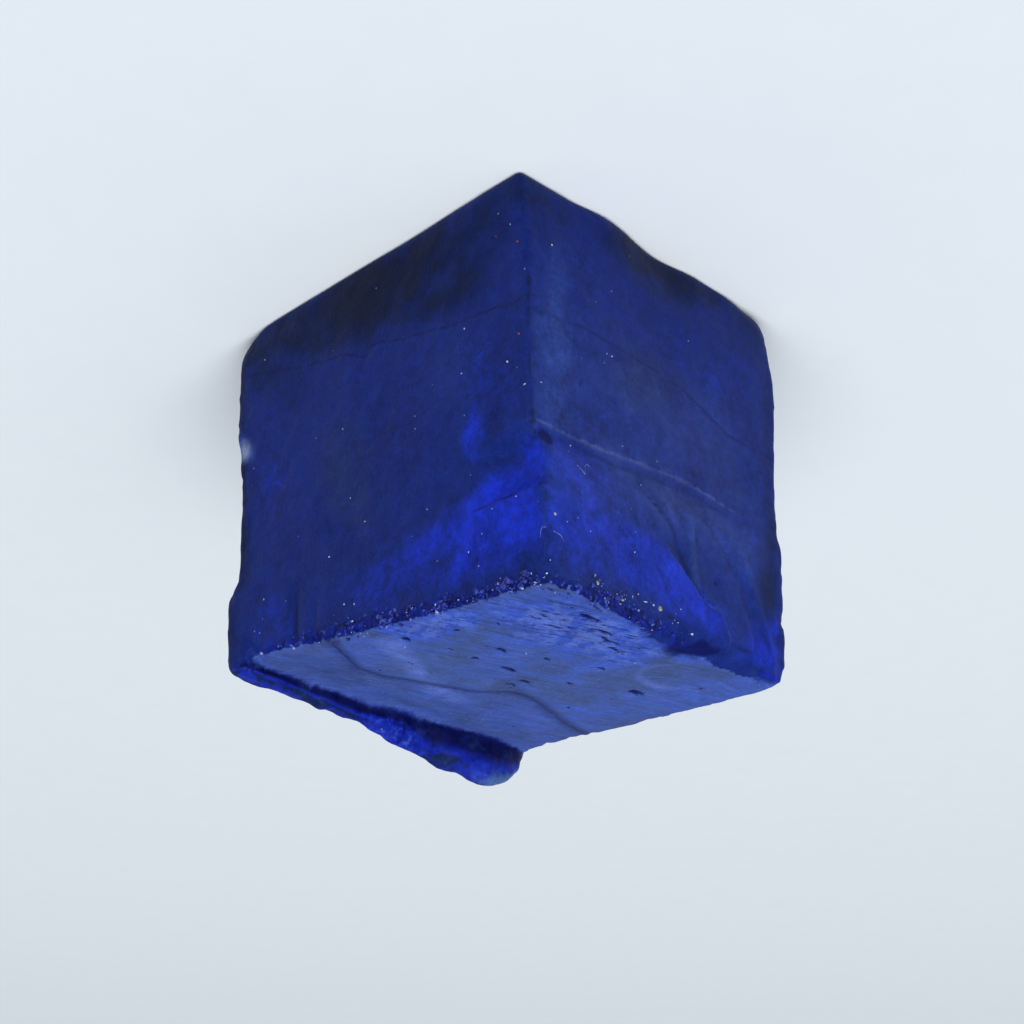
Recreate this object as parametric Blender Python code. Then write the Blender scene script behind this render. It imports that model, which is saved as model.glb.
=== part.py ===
"""Rough tanzanite: one nearly cubic stone, 16 mm on edge, that rests on its flat base.

The stone is one closed mesh. It starts as a cube with a strip of its top drawn up into a low wall. Every point
is then moved onto the surface where a depth function is zero: the soft maximum of six leaning planes, each
with its own ledges, folds and scars, joined with the lip. The larger pits are cut into the top by a Boolean.

Lengths are millimetres until the mesh is built, and metres in Blender. +Z is up, and the origin is at the
bottom centre of the stone's box. Front is -Y, left is -X, right is +X and back is +Y.
"""

import bmesh
import bpy
import numpy as np

NAME = "tanzanite_crystal"
MM = 0.001

# Side faces: turn of the outward normal about Z and its lean upward, in degrees, and distance in mm
FACES = {
    "front": (-92.5, 3.5, 8.05),
    "left": (178.0, -0.5, 8.50),
    "right": (1.5, 0.0, 8.32),
    "back": (93.5, 2.5, 8.10),
}
# Gentle waves in each side face: size, height and seed of a coarse and of a fine one
WAVES = {
    "front": ((4.2, 0.16, 3), (1.7, 0.05, 4)),
    "left": ((4.6, 0.13, 7), (1.8, 0.05, 8)),
    "right": ((3.9, 0.15, 12), (1.6, 0.06, 13)),
    "back": ((4.4, 0.16, 17), (1.7, 0.06, 18)),
    "top": ((3.0, 0.05, 21), (1.5, 0.02, 22)),
}
TOP_HEIGHT = 16.0
TOP_FALL_X = np.radians(6.0)  # fall of the sawn top towards +X
TOP_FALL_Y = np.radians(-1.0)  # and towards +Y
BASE_HEIGHT = -0.12
FLAT_WITHIN = 0.01  # what lies this close to the base's plane is flat

# Softness in mm: how round an edge is worn. Places worn rounder: centre, reach, and what is added
EDGE_SOFTNESS = 0.13
WORN_PLACES = (
    ((-8.2, 7.3, 0.0), 3.2, 0.26),
    ((8.8, -7.6, 15.0), 2.5, 0.45),
    ((-8.8, -6.6, 14.8), 2.5, 0.22),
    ((-8.4, 7.0, 17.0), 2.0, 0.12),
)
JOIN_SOFTNESS = 0.07

# The grid
CUTS = 25  # cuts along each edge of the starting cube
CROWDING = 0.6  # share by which grid lines crowd towards the edges
LIP_COLUMNS = 2
LIP_ROWS = 3
CELL = 2.0 / (CUTS + 1)

# Front face: a flake scar beside the near edge, a fuller foot, and upright grooves (x, half width, start z, depth)
NEAR_SCAR_FADE_X = (-7.7, -5.6)
NEAR_SCAR_LOW = (10.6, 11.6)
NEAR_SCAR_HIGH = (12.85, 13.15)
NEAR_SCAR_DEPTH = 0.42
NEAR_FOOT_X = (-5.5, -1.0)
NEAR_FOOT_Z = (0.5, 3.5)
NEAR_FOOT_HEIGHT = 0.15
GROOVES = ((4.70, 0.45, 12.2, 0.12), (3.45, 0.40, 13.4, 0.09))
GROOVE_RUN_IN = 1.1

# Left face: a ledge line with a hollow over it, a raised skin, and folds that sweep down to the back corner
SHELF_HEIGHT = 10.45
SHELF_START_Y = -6.7
SHELF_SLOPE = -0.09
SHELF_BEND = 0.012
SHELF_FADE_Y = (1.5, 6.0)
HOLLOW_DEPTH = 0.26
HOLLOW_STEP = 0.25
HOLLOW_END = 1.7
SKIN_HEIGHT = 0.20
SKIN_FADE_Y = (-5.5, -2.0)
# y where a fold starts, its slope and bend along z, height and half width
FOLDS = (
    (-1.0, 0.90, -0.04, -0.16, 0.6),
    (1.1, 0.00, 0.09, 0.14, 0.6),
    (2.0, 1.35, -0.12, -0.14, 0.6),
    (3.9, 0.35, 0.00, 0.12, 0.7),
)
FOLDS_Z = (10.9, 11.8)
# Swelling and hollow along the foot of the left face: y, half length, height
FOOT_WAVES = ((-3.1, 2.2, 0.20), (0.4, 2.4, -0.26))
FOOT_FADE_Z = (0.2, 2.6)

# Right face: the ledge that the lip grows from, and a slanting furrow
LEDGE_HEIGHT = 11.3
LEDGE_SLOPE = 0.05
LEDGE_RAGGED = 0.95
LEDGE_UNEVEN = 0.35  # share by which its depth varies
LEDGE_RAGGED_SIZE = 2.1
LEDGE_RAGGED_Y = (-7.5, -5.0)
LEDGE_RISE = (-0.1, 0.75)
LEDGE_DEPTH = 0.56
LEDGE_BELLY = 0.22
LEDGE_BELLY_Y = (-0.2, 3.5)
FURROW_HEIGHT = 5.6
FURROW_SLOPE = 0.25
FURROW_HALF_WIDTH = 0.9
FURROW_FADE_Y = (-6.0, -3.0)
FURROW_DEPTH = 0.13

# Back face: a slanting step, and the swelling behind the end of the lip
STEP_SLOPE = 0.45
STEP_RISE = (6.0, 7.5)
STEP_FALL = (7.5, 11.0)
STEP_HEIGHT = 0.20
LUG_X = (8.8, 1.9)
LUG_Z = (16.2, 2.4)
LUG_HEIGHT = 0.55

# Top: a shallow flake scar at the left edge, a trough at the lip's foot, and a low strip beside it
DISH_MIDDLE = (-5.6, 4.2)
DISH_REACH = (2.1, 2.3)
DISH_DEPTH = 0.18
TROUGH_X = (7.4, 1.3)
TROUGH_Y = (0.4, 3.4)
TROUGH_DEPTH = 0.22
STRIP_X = (3.6, 3.9)
STRIP_DEPTH = 0.07

# The chipped bevel between the left face and the top: distance of its plane, and where it starts and ends
BEVEL_DISTANCE = 17.50
BEVEL_START_Y = (-1.6, -0.4)
BEVEL_END_Y = (5.0, 6.5)
BEVEL_CLEAR = 3.0  # mm that its plane stands off elsewhere

# The lip: its foot and its crest over the top face, along y
LIP_ALONG = (-7.6, -3.8, -0.9, 0.4, 1.6, 2.3, 3.2, 5.6, 7.2, 8.5)
LIP_FOOT_X = (7.9, 8.0, 8.3, 7.95, 8.05, 8.3, 7.5, 7.25, 7.6, 8.3)
LIP_CREST = (0.34, 0.56, 0.72, 1.06, 1.22, 1.25, 1.60, 1.92, 1.52, 0.45)
LIP_LEAN = 0.22  # mm that the inner wall leans out for each mm up
LIP_THINNEST = 0.6
LIP_ROOT = 2.0  # mm that it reaches down into the stone
LIP_SOFTNESS = 0.16
LIP_RAGGED = 0.10
LIP_RAGGED_SIZE = 0.9

# Pits in the sawn top: x, y, half length along y, half width, depth
PITS = (
    (-0.53, -0.75, 0.40, 0.26, 0.30),
    (0.17, 0.74, 0.30, 0.20, 0.24),
    (0.90, 0.70, 0.30, 0.18, 0.24),
    (-2.09, -2.60, 0.32, 0.18, 0.24),
    (-2.74, 4.15, 0.34, 0.26, 0.28),
    (0.14, -5.48, 0.26, 0.18, 0.22),
    (-6.26, -0.78, 0.42, 0.20, 0.24),
    (-7.60, -3.20, 0.50, 0.20, 0.22),
)
PIT_MOUTH = 0.05  # mm that the middle of a pit's ball stands over the top

STONE_COLOUR = (0.016, 0.032, 0.235, 1.0)
STONE_ROUGHNESS = 0.42


def clear_scene():
    for obj in list(bpy.data.objects):
        bpy.data.objects.remove(obj, do_unlink=True)


def new_collection(name):
    collection = bpy.data.collections.new(name)
    bpy.context.scene.collection.children.link(collection)
    return collection


def rise(value, start, end):
    """0 before start, 1 after end, and an S-curve between."""
    share = np.clip((value - start) / (end - start), 0.0, 1.0)
    return share * share * (3.0 - 2.0 * share)


def fall(value, start, end):
    """1 before start, 0 after end, and an S-curve between."""
    return 1.0 - rise(value, start, end)


def bump(value, centre, reach):
    """1 at centre, falling smoothly to 0 at reach on both sides."""
    return fall(np.abs(value - centre), 0.0, reach)


def soft_max(values, softness):
    """The largest of the values, rounded where two of them meet."""
    highest = np.maximum.reduce(values)
    total = sum(np.exp((value - highest) / softness) for value in values)
    return highest + softness * np.log(total)


def soft_min(values, softness):
    return -soft_max([-value for value in values], softness)


def swell(points, size, seed):
    """Smooth noise from -1 to 1: random values on a lattice of the given size, blended between its points."""
    lattice = np.random.RandomState(seed).uniform(-1.0, 1.0, (16, 16, 16))
    scaled = points / size
    cell = np.floor(scaled).astype(int)
    share = scaled - cell
    share = share * share * (3.0 - 2.0 * share)
    total = np.zeros(len(points))
    for corner in np.ndindex(2, 2, 2):
        weight = np.prod(np.where(corner, share, 1.0 - share), axis=1)
        index = (cell + corner) % 16
        total += weight * lattice[index[:, 0], index[:, 1], index[:, 2]]
    return total


def waves(points, face):
    return sum(height * swell(points, size, seed) for size, height, seed in WAVES[face])


def face_normal(face):
    turn, lean = np.radians(FACES[face][:2])
    return np.array([np.cos(turn) * np.cos(lean), np.sin(turn) * np.cos(lean), np.sin(lean)])


def top_normal():
    slope = np.array([np.tan(TOP_FALL_X), np.tan(TOP_FALL_Y), 1.0])
    return slope / np.linalg.norm(slope)


def top_height(x, y):
    """Height of the sawn plane over the point x, y."""
    return TOP_HEIGHT - x * np.tan(TOP_FALL_X) - y * np.tan(TOP_FALL_Y)


def front_relief(p):
    """A flake scar that ends in a sharp step, a fuller foot at the near corner, and two upright grooves."""
    x, z = p[:, 0], p[:, 2]
    scar = rise(z, *NEAR_SCAR_LOW) * fall(z, *NEAR_SCAR_HIGH) * fall(x, *NEAR_SCAR_FADE_X)
    foot = fall(x, *NEAR_FOOT_X) * fall(z, *NEAR_FOOT_Z)
    relief = waves(p, "front") + NEAR_FOOT_HEIGHT * foot - NEAR_SCAR_DEPTH * scar
    for middle, half_width, start, groove_depth in GROOVES:
        relief -= groove_depth * bump(x, middle, half_width) * rise(z, start, start + GROOVE_RUN_IN)
    return relief


def left_relief(p):
    """A ledge with a hollow over it, a raised skin beside the near edge, sweeping folds and a wavy foot."""
    y, z = p[:, 1], p[:, 2]
    along = y - SHELF_START_Y
    over = z - (SHELF_HEIGHT + SHELF_SLOPE * along + SHELF_BEND * along**2)
    hollow = rise(over, 0.0, HOLLOW_STEP) * fall(over, HOLLOW_STEP, HOLLOW_END) * fall(y, *SHELF_FADE_Y)
    skin = rise(over, HOLLOW_STEP, 1.0) * fall(y, *SKIN_FADE_Y)
    relief = waves(p, "left") - HOLLOW_DEPTH * hollow + SKIN_HEIGHT * skin
    up = z - FOLDS_Z[0]
    for start, slope, bend, height, half_width in FOLDS:
        middle = start + slope * up + bend * up**2
        relief += height * bump(y, middle, half_width) * rise(z, *FOLDS_Z)
    for middle, half_length, height in FOOT_WAVES:
        relief += height * bump(y, middle, half_length) * fall(z, *FOOT_FADE_Z)
    return relief


def right_relief(p):
    """The ledge round the top of this face, with a ragged lower edge, and a slanting furrow."""
    y, z = p[:, 1], p[:, 2]
    ragged = swell(p * (0.0, 1.0, 0.0), LEDGE_RAGGED_SIZE, 11)
    over = z - (LEDGE_HEIGHT + LEDGE_SLOPE * y + LEDGE_RAGGED * ragged * rise(y, *LEDGE_RAGGED_Y))
    thickness = LEDGE_DEPTH * (1.0 + LEDGE_UNEVEN * ragged) + LEDGE_BELLY * bump(y, *LEDGE_BELLY_Y)
    ledge = thickness * rise(over, *LEDGE_RISE)
    furrow = bump(z - FURROW_SLOPE * y, FURROW_HEIGHT, FURROW_HALF_WIDTH) * rise(y, *FURROW_FADE_Y)
    return waves(p, "right") + ledge - FURROW_DEPTH * furrow


def back_relief(p):
    """One low slanting step, and the swelling behind the end of the lip."""
    x, z = p[:, 0], p[:, 2]
    slanted = z + STEP_SLOPE * x
    step = rise(slanted, *STEP_RISE) * fall(slanted, *STEP_FALL)
    lug = bump(x, *LUG_X) * bump(z, *LUG_Z)
    return waves(p, "back") + STEP_HEIGHT * step + LUG_HEIGHT * lug


def top_relief(p):
    """A nearly flat sawn face, with a flake scar, a trough at the lip's foot and a low strip beside it."""
    x, y = p[:, 0], p[:, 1]
    reach = np.hypot((x - DISH_MIDDLE[0]) / DISH_REACH[0], (y - DISH_MIDDLE[1]) / DISH_REACH[1])
    dish = fall(reach, 0.4, 1.0)
    trough = bump(x, *TROUGH_X) * bump(y, *TROUGH_Y)
    relief = waves(p, "top") - DISH_DEPTH * dish - TROUGH_DEPTH * trough
    return relief - STRIP_DEPTH * rise(x, *STRIP_X)


RELIEFS = {"front": front_relief, "left": left_relief, "right": right_relief, "back": back_relief}


def worn_softness(p):
    softness = np.full(len(p), EDGE_SOFTNESS)
    for place, reach, added in WORN_PLACES:
        softness += added * fall(np.linalg.norm(p - np.array(place), axis=1), 0.0, reach)
    return softness


def lip_depth(p, sides):
    """Depth in the lip: outside its inner wall, its ragged crest, its root or the sides it is above 0."""
    over = p[:, 2] - top_height(p[:, 0], p[:, 1])
    foot = np.interp(p[:, 1], LIP_ALONG, LIP_FOOT_X)
    ragged = LIP_RAGGED * swell(p, LIP_RAGGED_SIZE, 31)
    inner = foot + LIP_LEAN * over + ragged - p[:, 0]
    crest = over - np.interp(p[:, 1], LIP_ALONG, LIP_CREST) + ragged
    root = -over - LIP_ROOT
    return soft_max([inner, crest, root, sides["right"], sides["front"], sides["back"]], LIP_SOFTNESS)


def depth(p):
    """Signed depth in mm: below 0 inside the stone, 0 on its surface."""
    sides = {}
    for face, relief in RELIEFS.items():
        sides[face] = p @ face_normal(face) - FACES[face][2] - relief(p)
    top = p @ top_normal() - TOP_HEIGHT * top_normal()[2] - top_relief(p)
    base = BASE_HEIGHT - p[:, 2]
    bevelled = rise(p[:, 1], *BEVEL_START_Y) * fall(p[:, 1], *BEVEL_END_Y)
    bevel = (p[:, 2] - p[:, 0]) * np.sqrt(0.5) - BEVEL_DISTANCE - BEVEL_CLEAR * (1.0 - bevelled)
    body = soft_max([*sides.values(), top, base, bevel], worn_softness(p))
    return soft_min([body, lip_depth(p, sides)], JOIN_SOFTNESS)


def settle(points, rounds=12, step=0.01, longest_move=0.5, least_slope=0.25):
    """Moves each point along the slope of its depth until its depth is 0."""
    for _ in range(rounds):
        slope = np.empty_like(points)
        for axis, offset in enumerate(np.eye(3) * step):
            slope[:, axis] = (depth(points + offset) - depth(points - offset)) / (2.0 * step)
        steepness = np.maximum((slope**2).sum(axis=1), least_slope)
        move = np.clip(depth(points) / steepness, -longest_move, longest_move)
        points = points - move[:, None] * slope
    return points


def box_corner(x_face, y_face, high):
    """Where two side faces meet the sawn plane (high) or the base."""
    level_normal = top_normal() if high else np.array([0.0, 0.0, 1.0])
    level_distance = TOP_HEIGHT * top_normal()[2] if high else BASE_HEIGHT
    normals = np.array([face_normal(x_face), face_normal(y_face), level_normal])
    return np.linalg.solve(normals, np.array([FACES[x_face][2], FACES[y_face][2], level_distance]))


def crowded(share):
    """Even steps from 0 to 1 turned into steps that are shorter near both ends."""
    return (1.0 - CROWDING) * share + CROWDING * 0.5 * (1.0 - np.cos(np.pi * share))


def side_points(x_face, along, up):
    """Points on the left or right plane, from shares along y and up z."""
    corners = [[box_corner(x_face, y_face, high) for y_face in ("front", "back")] for high in (False, True)]
    low, high = (start + np.outer(along, end - start) for start, end in corners)
    return low + up[:, None] * (high - low)


def rough_place(grid):
    """Puts points of the cube's grid, from -1 to 1 and higher in the lip, near their place on the stone."""
    across, along, up = (grid.T + 1.0) / 2.0
    level = crowded(np.minimum(up, 1.0))
    left = side_points("left", crowded(along), level)
    outer = side_points("right", crowded(along), level)
    outer[:, 0] += LEDGE_DEPTH * rise(outer[:, 2] - LEDGE_HEIGHT, *LEDGE_RISE)
    foot = outer.copy()
    foot[:, 0] = np.minimum(np.interp(outer[:, 1], LIP_ALONG, LIP_FOOT_X), outer[:, 0] - LIP_THINNEST)
    lip_start = 1.0 - LIP_COLUMNS * CELL / 2.0
    to_lip = crowded(np.minimum(across / lip_start, 1.0))[:, None]
    in_lip = np.maximum(across - lip_start, 0.0)[:, None] / (1.0 - lip_start)
    placed = left + to_lip * (foot - left) + in_lip * (outer - foot)
    climb = np.maximum(grid[:, 2] - 1.0, 0.0) / (LIP_ROWS * CELL)
    climb *= np.interp(placed[:, 1], LIP_ALONG, LIP_CREST)
    placed[:, 2] += climb
    placed[:, 0] += climb * LIP_LEAN * (1.0 - in_lip[:, 0])
    return placed


def grid_with_lip():
    """A subdivided cube whose top is drawn up into a low wall along its +X edge."""
    bm = bmesh.new()
    bmesh.ops.create_cube(bm, size=2.0)
    bmesh.ops.subdivide_edges(bm, edges=bm.edges[:], cuts=CUTS, use_grid_fill=True)
    strip = []
    for face in bm.faces:
        middle = face.calc_center_median()
        if middle.z > 1.0 - CELL / 4.0 and middle.x > 1.0 - LIP_COLUMNS * CELL:
            strip.append(face)
    for _ in range(LIP_ROWS):
        drawn = bmesh.ops.extrude_face_region(bm, geom=strip)["geom"]
        bmesh.ops.delete(bm, geom=strip, context="FACES_ONLY")
        raised = [item for item in drawn if isinstance(item, bmesh.types.BMVert)]
        bmesh.ops.translate(bm, verts=raised, vec=(0.0, 0.0, CELL))
        strip = [item for item in drawn if isinstance(item, bmesh.types.BMFace)]
    return bm


def mesh_object(bm, name, collection):
    mesh = bpy.data.meshes.new(name)
    bm.to_mesh(mesh)
    bm.free()
    obj = bpy.data.objects.new(name, mesh)
    collection.objects.link(obj)
    return obj


def make_material(name):
    material = bpy.data.materials.new(name)
    material.use_nodes = True
    shader = material.node_tree.nodes["Principled BSDF"]
    shader.inputs["Base Color"].default_value = STONE_COLOUR
    shader.inputs["Roughness"].default_value = STONE_ROUGHNESS
    shader.inputs["Metallic"].default_value = 0.0
    return material


def make_stone(collection):
    """The stone without its pits, and the point of the planes' frame that becomes the origin."""
    bm = grid_with_lip()
    points = settle(rough_place(np.array([vert.co[:] for vert in bm.verts])))
    on_base = points[:, 2] < BASE_HEIGHT + FLAT_WITHIN
    points[on_base, 2] = BASE_HEIGHT
    low, high = points.min(axis=0), points.max(axis=0)
    origin = np.array([(low[0] + high[0]) / 2.0, (low[1] + high[1]) / 2.0, low[2]])
    for vert, place in zip(bm.verts, (points - origin) * MM):
        vert.co = place
    bmesh.ops.recalc_face_normals(bm, faces=bm.faces[:])
    stone = mesh_object(bm, NAME, collection)
    stone.data.materials.append(make_material("violet_blue_stone"))
    return stone, origin


def cut_pits(stone, origin, collection):
    """Cuts the larger pits into the sawn top with one mesh of flattened balls."""
    bm = bmesh.new()
    for x, y, half_length, half_width, pit_depth in PITS:
        ball = bmesh.ops.create_uvsphere(bm, u_segments=8, v_segments=6, radius=1.0)["verts"]
        bmesh.ops.scale(bm, verts=ball, vec=(half_width, half_length, pit_depth))
        bmesh.ops.translate(bm, verts=ball, vec=(x, y, top_height(x, y) + PIT_MOUTH))
    bmesh.ops.translate(bm, verts=bm.verts[:], vec=tuple(-origin))
    bmesh.ops.scale(bm, verts=bm.verts[:], vec=(MM, MM, MM))
    cutter = mesh_object(bm, "pit_cutter", collection)
    cutter.hide_render = True
    cutter.display_type = "WIRE"
    cut = stone.modifiers.new("pits", "BOOLEAN")
    cut.operation = "DIFFERENCE"
    cut.solver = "EXACT"
    cut.object = cutter


def main():
    clear_scene()
    stone, origin = make_stone(new_collection("rough_tanzanite"))
    cut_pits(stone, origin, new_collection("cutters"))


main()
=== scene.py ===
"""Looks of the rough tanzanite: one dark blue stone with a sawn top, its grains and dust, and two fibres;
some of the white grains are painted glints.

The stone is worked out in millimetres in the frame of its face planes. A mesh is written in metres in the
part's frame. +Z is up, front is -Y, left is -X, right is +X and back is +Y.
"""

import bpy
import numpy as np
from mathutils import Matrix, Vector


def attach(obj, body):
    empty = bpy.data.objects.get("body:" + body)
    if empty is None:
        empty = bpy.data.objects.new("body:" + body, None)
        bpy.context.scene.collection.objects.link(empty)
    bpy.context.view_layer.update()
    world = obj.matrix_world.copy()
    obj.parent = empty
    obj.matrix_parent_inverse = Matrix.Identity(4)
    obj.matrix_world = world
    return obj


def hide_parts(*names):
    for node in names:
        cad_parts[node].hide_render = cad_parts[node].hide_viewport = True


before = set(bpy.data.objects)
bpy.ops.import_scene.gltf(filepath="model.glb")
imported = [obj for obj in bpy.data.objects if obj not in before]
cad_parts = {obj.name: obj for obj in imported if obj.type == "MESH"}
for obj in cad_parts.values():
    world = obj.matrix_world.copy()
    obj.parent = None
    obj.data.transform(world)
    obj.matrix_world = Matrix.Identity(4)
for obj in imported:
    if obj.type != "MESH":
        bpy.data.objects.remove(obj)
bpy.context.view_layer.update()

MM = 0.001
ORIGIN = np.array([0.1296, 0.1597, -0.12])  # the part frame's origin in the planes' frame

# Side faces: turn of the outward normal about Z and its lean upward, in degrees, and distance in mm
FACES = {
    "front": (-92.5, 3.5, 8.05),
    "left": (178.0, -0.5, 8.50),
    "right": (1.5, 0.0, 8.32),
    "back": (93.5, 2.5, 8.10),
}
TOP_HEIGHT = 16.0
TOP_FALL_X = np.radians(6.0)
TOP_FALL_Y = np.radians(-1.0)
BASE_HEIGHT = -0.12
# The plane that bevels the lip's outer edge: its distance, and how far it draws off past its ends
BEVEL_DISTANCE, BEVEL_DRAWN_OFF = 17.50, 3.0

# Softness in mm of a worn edge, and places worn rounder: centre, reach, and what is added
EDGE_SOFTNESS = 0.10
WORN_PLACES = (
    ((-8.2, 7.3, 0.0), 3.2, 0.26),
    ((8.8, -7.6, 15.3), 2.6, 1.15),
    ((8.4, -8.1, 0.0), 1.8, 0.25),
    ((-8.8, -6.6, 14.8), 2.5, 0.10),
    ((-8.4, 7.0, 17.0), 2.0, 0.12),
)
JOIN_SOFTNESS = 0.06
# How fast a face, an edge and the faces turned away fade out of what belongs to them, in mm
FACE_FADE, EDGE_FADE, OUTER_FADE = 0.18, 0.35, 0.7

# Counts of lattice lines along X, Y and Z, and of the lip's columns and rows
LINES_X, LINES_Y, LINES_Z = 132, 132, 113
LIP_COLUMNS, LIP_ROWS = 12, 14
# How high the lip's lattice stands before it is seated, as a share of the crest
LIP_STANDS = 0.80

LIP_ALONG = (-7.6, -3.8, -0.9, 0.4, 1.6, 2.2, 3.0, 3.8, 5.6, 7.2, 8.5)
LIP_FOOT_X = (7.9, 8.0, 8.3, 7.95, 7.92, 7.95, 7.72, 7.4, 7.25, 7.6, 8.3)
LIP_CREST = (0.33, 0.58, 0.74, 1.08, 1.42, 1.60, 1.72, 1.64, 1.90, 1.50, 0.45)
LIP_LEAN = 0.22
LIP_THINNEST = 0.6
LIP_ROOT = 2.0
LIP_SOFTNESS = 0.14

# Left face: the ledge line, and its grooves, ridges and lobe edges, as points (z, y)
SHELF_Y = (-6.7, -3.6, -0.8, 1.6, 2.9, 5.2)
SHELF_Z = (10.43, 10.39, 10.20, 10.02, 10.19, 10.34)
ARC_GROOVE = ((11.0, 11.5, 12.1, 13.1, 13.8, 15.0), (-1.6, -0.7, 0.35, 0.80, 1.35, 2.3))
PALE_RIDGE = ((10.9, 11.4, 13.1, 14.2, 14.8, 16.0), (0.9, 1.40, 1.38, 1.70, 2.55, 3.3))
SECOND_GROOVE = ((10.8, 11.1, 11.55, 12.0, 12.9, 13.3, 15.5), (1.2, 2.1, 2.8, 3.35, 3.9, 4.35, 5.1))
SECOND_RIDGE = ((11.2, 11.7, 12.4, 13.6, 15.5), (3.6, 4.15, 4.75, 5.0, 5.9))
LOBE_EDGE = (
    (12.9, 13.0, 13.5, 14.15, 14.6, 15.0, 15.3, 16.0, 16.6),
    (-2.6, -0.2, 0.3, 1.3, 1.85, 2.5, 3.1, 3.3, 3.5),
)
# Left face: small pits, as y, z, half width and depth
LEFT_PITS = (
    (-4.55, 8.01, 0.16, 0.14),
    (-2.10, 6.56, 0.15, 0.10),
    (1.86, 6.44, 0.20, 0.10),
    (2.84, 13.80, 0.24, 0.22),
    (-0.94, 13.43, 0.13, 0.10),
)
# Left face: a fuller foot and a hollow one, as y, half length and height
FOOT_WAVES = ((-3.1, 2.2, 0.20), (0.4, 2.4, -0.26))

# Right and back faces: low ledges, as height at the middle, slope, where the line starts and ends, and drop
FAR_LEDGES = (
    ("right", 4.6, 0.20, -9.5, 5.5, 0.16),
    ("right", 8.3, -0.34, -3.0, 9.5, 0.12),
    ("right", 1.9, 0.42, 0.0, 8.5, 0.09),
    ("back", 9.2, 0.26, -9.5, 6.0, 0.18),
    ("back", 4.6, -0.20, -4.0, 9.5, 0.13),
    ("back", 12.6, -0.45, -2.0, 8.0, 0.10),
)

# Top: the border of the smooth strip beside the lip, as points (y, x)
STRIP_BORDER = (
    (-7.0, -5.5, -4.3, -3.1, -1.3, 0.35, 0.8, 1.3, 2.2, 3.2, 5.6, 8.0),
    (2.9, 3.8, 4.6, 4.62, 3.6, 2.95, 2.3, 1.55, 1.5, 1.8, 2.9, 3.7),
)# Top: how wide the crumbly band is, by x under the front edge and by y under the left edge
FRONT_BAND = ((-9.0, -7.5, -4.0, 1.5, 4.5, 6.5, 8.0), (0.30, 0.42, 0.55, 0.72, 0.50, 0.28, 0.0))
LEFT_BAND = ((-7.0, -5.5, -3.0, 0.0, 1.3, 2.2, 3.5), (0.30, 0.45, 0.75, 0.50, 0.35, 0.0, -0.60))
# Top: the level way across the saw marks
SAW_X, SAW_Y = 0.915, 0.403
# Top: where the sawn face ends beside the left edge, as points (y, x)
BITE_EDGE = (
    (-7.0, -2.5, -1.2, -0.3, 0.6, 1.5, 2.0, 3.0, 3.7, 4.6, 5.3, 6.2, 9.0),
    (-9.7, -9.0, -8.3, -7.8, -7.5, -7.3, -7.55, -8.05, -8.35, -8.2, -8.0, -8.1, -8.9),
)
# Front and left faces: the hair cracks, as points (x, z) and (y, z)
FRONT_HAIR = (
    (-8.5, -7.2, -5.6, -4.5, -3.2, -2.2, -1.0, -0.1, 0.0, 1.4, 3.0, 8.0),
    (5.3, 5.22, 5.0, 4.92, 4.55, 4.45, 4.05, 3.9, 4.35, 3.6, 3.3, 2.0),
)
LEFT_HAIR = ((-8.0, -7.3, -4.5, -1.9, 0.1, 1.9, 4.0), (6.0, 5.92, 5.56, 5.59, 5.64, 6.06, 6.9))

# Pits in the sawn top: x, y, half length along y, half width, depth
PITS = np.array([
    (-0.53, -0.75, 0.42, 0.26, 0.30),
    (0.17, 0.74, 0.30, 0.20, 0.24),
    (0.90, 0.70, 0.32, 0.17, 0.24),
    (-2.09, -2.60, 0.32, 0.18, 0.24),
    (-2.74, 4.15, 0.36, 0.27, 0.30),
    (0.14, -5.48, 0.30, 0.18, 0.22),
    (-6.26, -0.78, 0.42, 0.18, 0.24),
    (-7.60, -3.20, 0.50, 0.18, 0.22),
    (-0.53, -2.49, 0.24, 0.13, 0.16),
    (-2.41, -5.11, 0.20, 0.11, 0.14),
    (-4.22, -4.68, 0.22, 0.12, 0.14),
    (-1.99, -3.22, 0.18, 0.11, 0.13),
    (-0.56, -3.75, 0.17, 0.10, 0.12),
    (-2.81, -0.85, 0.20, 0.12, 0.14),
    (2.13, -3.52, 0.20, 0.13, 0.14),
    (-6.86, -1.71, 0.42, 0.14, 0.20),
    (-6.38, -1.38, 0.40, 0.12, 0.18),
    (-5.75, -0.17, 0.30, 0.13, 0.16),
    (-3.75, 1.20, 0.26, 0.14, 0.16),
    (-1.30, 1.90, 0.16, 0.12, 0.12),
    (1.10, 4.10, 0.17, 0.13, 0.12),
])


def rise(value, start, end):
    """0 before start, 1 after end, and an S-curve between."""
    share = np.clip((value - start) / (end - start), 0.0, 1.0)
    return share * share * (3.0 - 2.0 * share)


def fall(value, start, end):
    return 1.0 - rise(value, start, end)


def bump(value, centre, reach):
    """1 at centre, falling smoothly to 0 at reach on both sides."""
    return fall(np.abs(value - centre), 0.0, reach)


def soft_max(values, softness):
    """The largest of the values, rounded where two of them meet."""
    highest = np.maximum.reduce(values)
    total = sum(np.exp((value - highest) / softness) for value in values)
    return highest + softness * np.log(total)


def swell(points, size, seed, cells=16):
    """Smooth noise from -1 to 1: random values on a lattice of the given size, blended between its points."""
    lattice = np.random.RandomState(seed).uniform(-1.0, 1.0, (cells, cells, cells)).ravel()
    scaled = points / size
    cell = np.floor(scaled).astype(int)
    share = scaled - cell
    share = share * share * (3.0 - 2.0 * share)
    low, high = cell % cells, (cell + 1) % cells
    total = np.zeros(len(points))
    for corner in np.ndindex(2, 2, 2):
        index = np.where(corner, high, low)
        weight = np.where(corner, share, 1.0 - share).prod(axis=1)
        total += weight * lattice[(index[:, 0] * cells + index[:, 1]) * cells + index[:, 2]]
    return total


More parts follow.
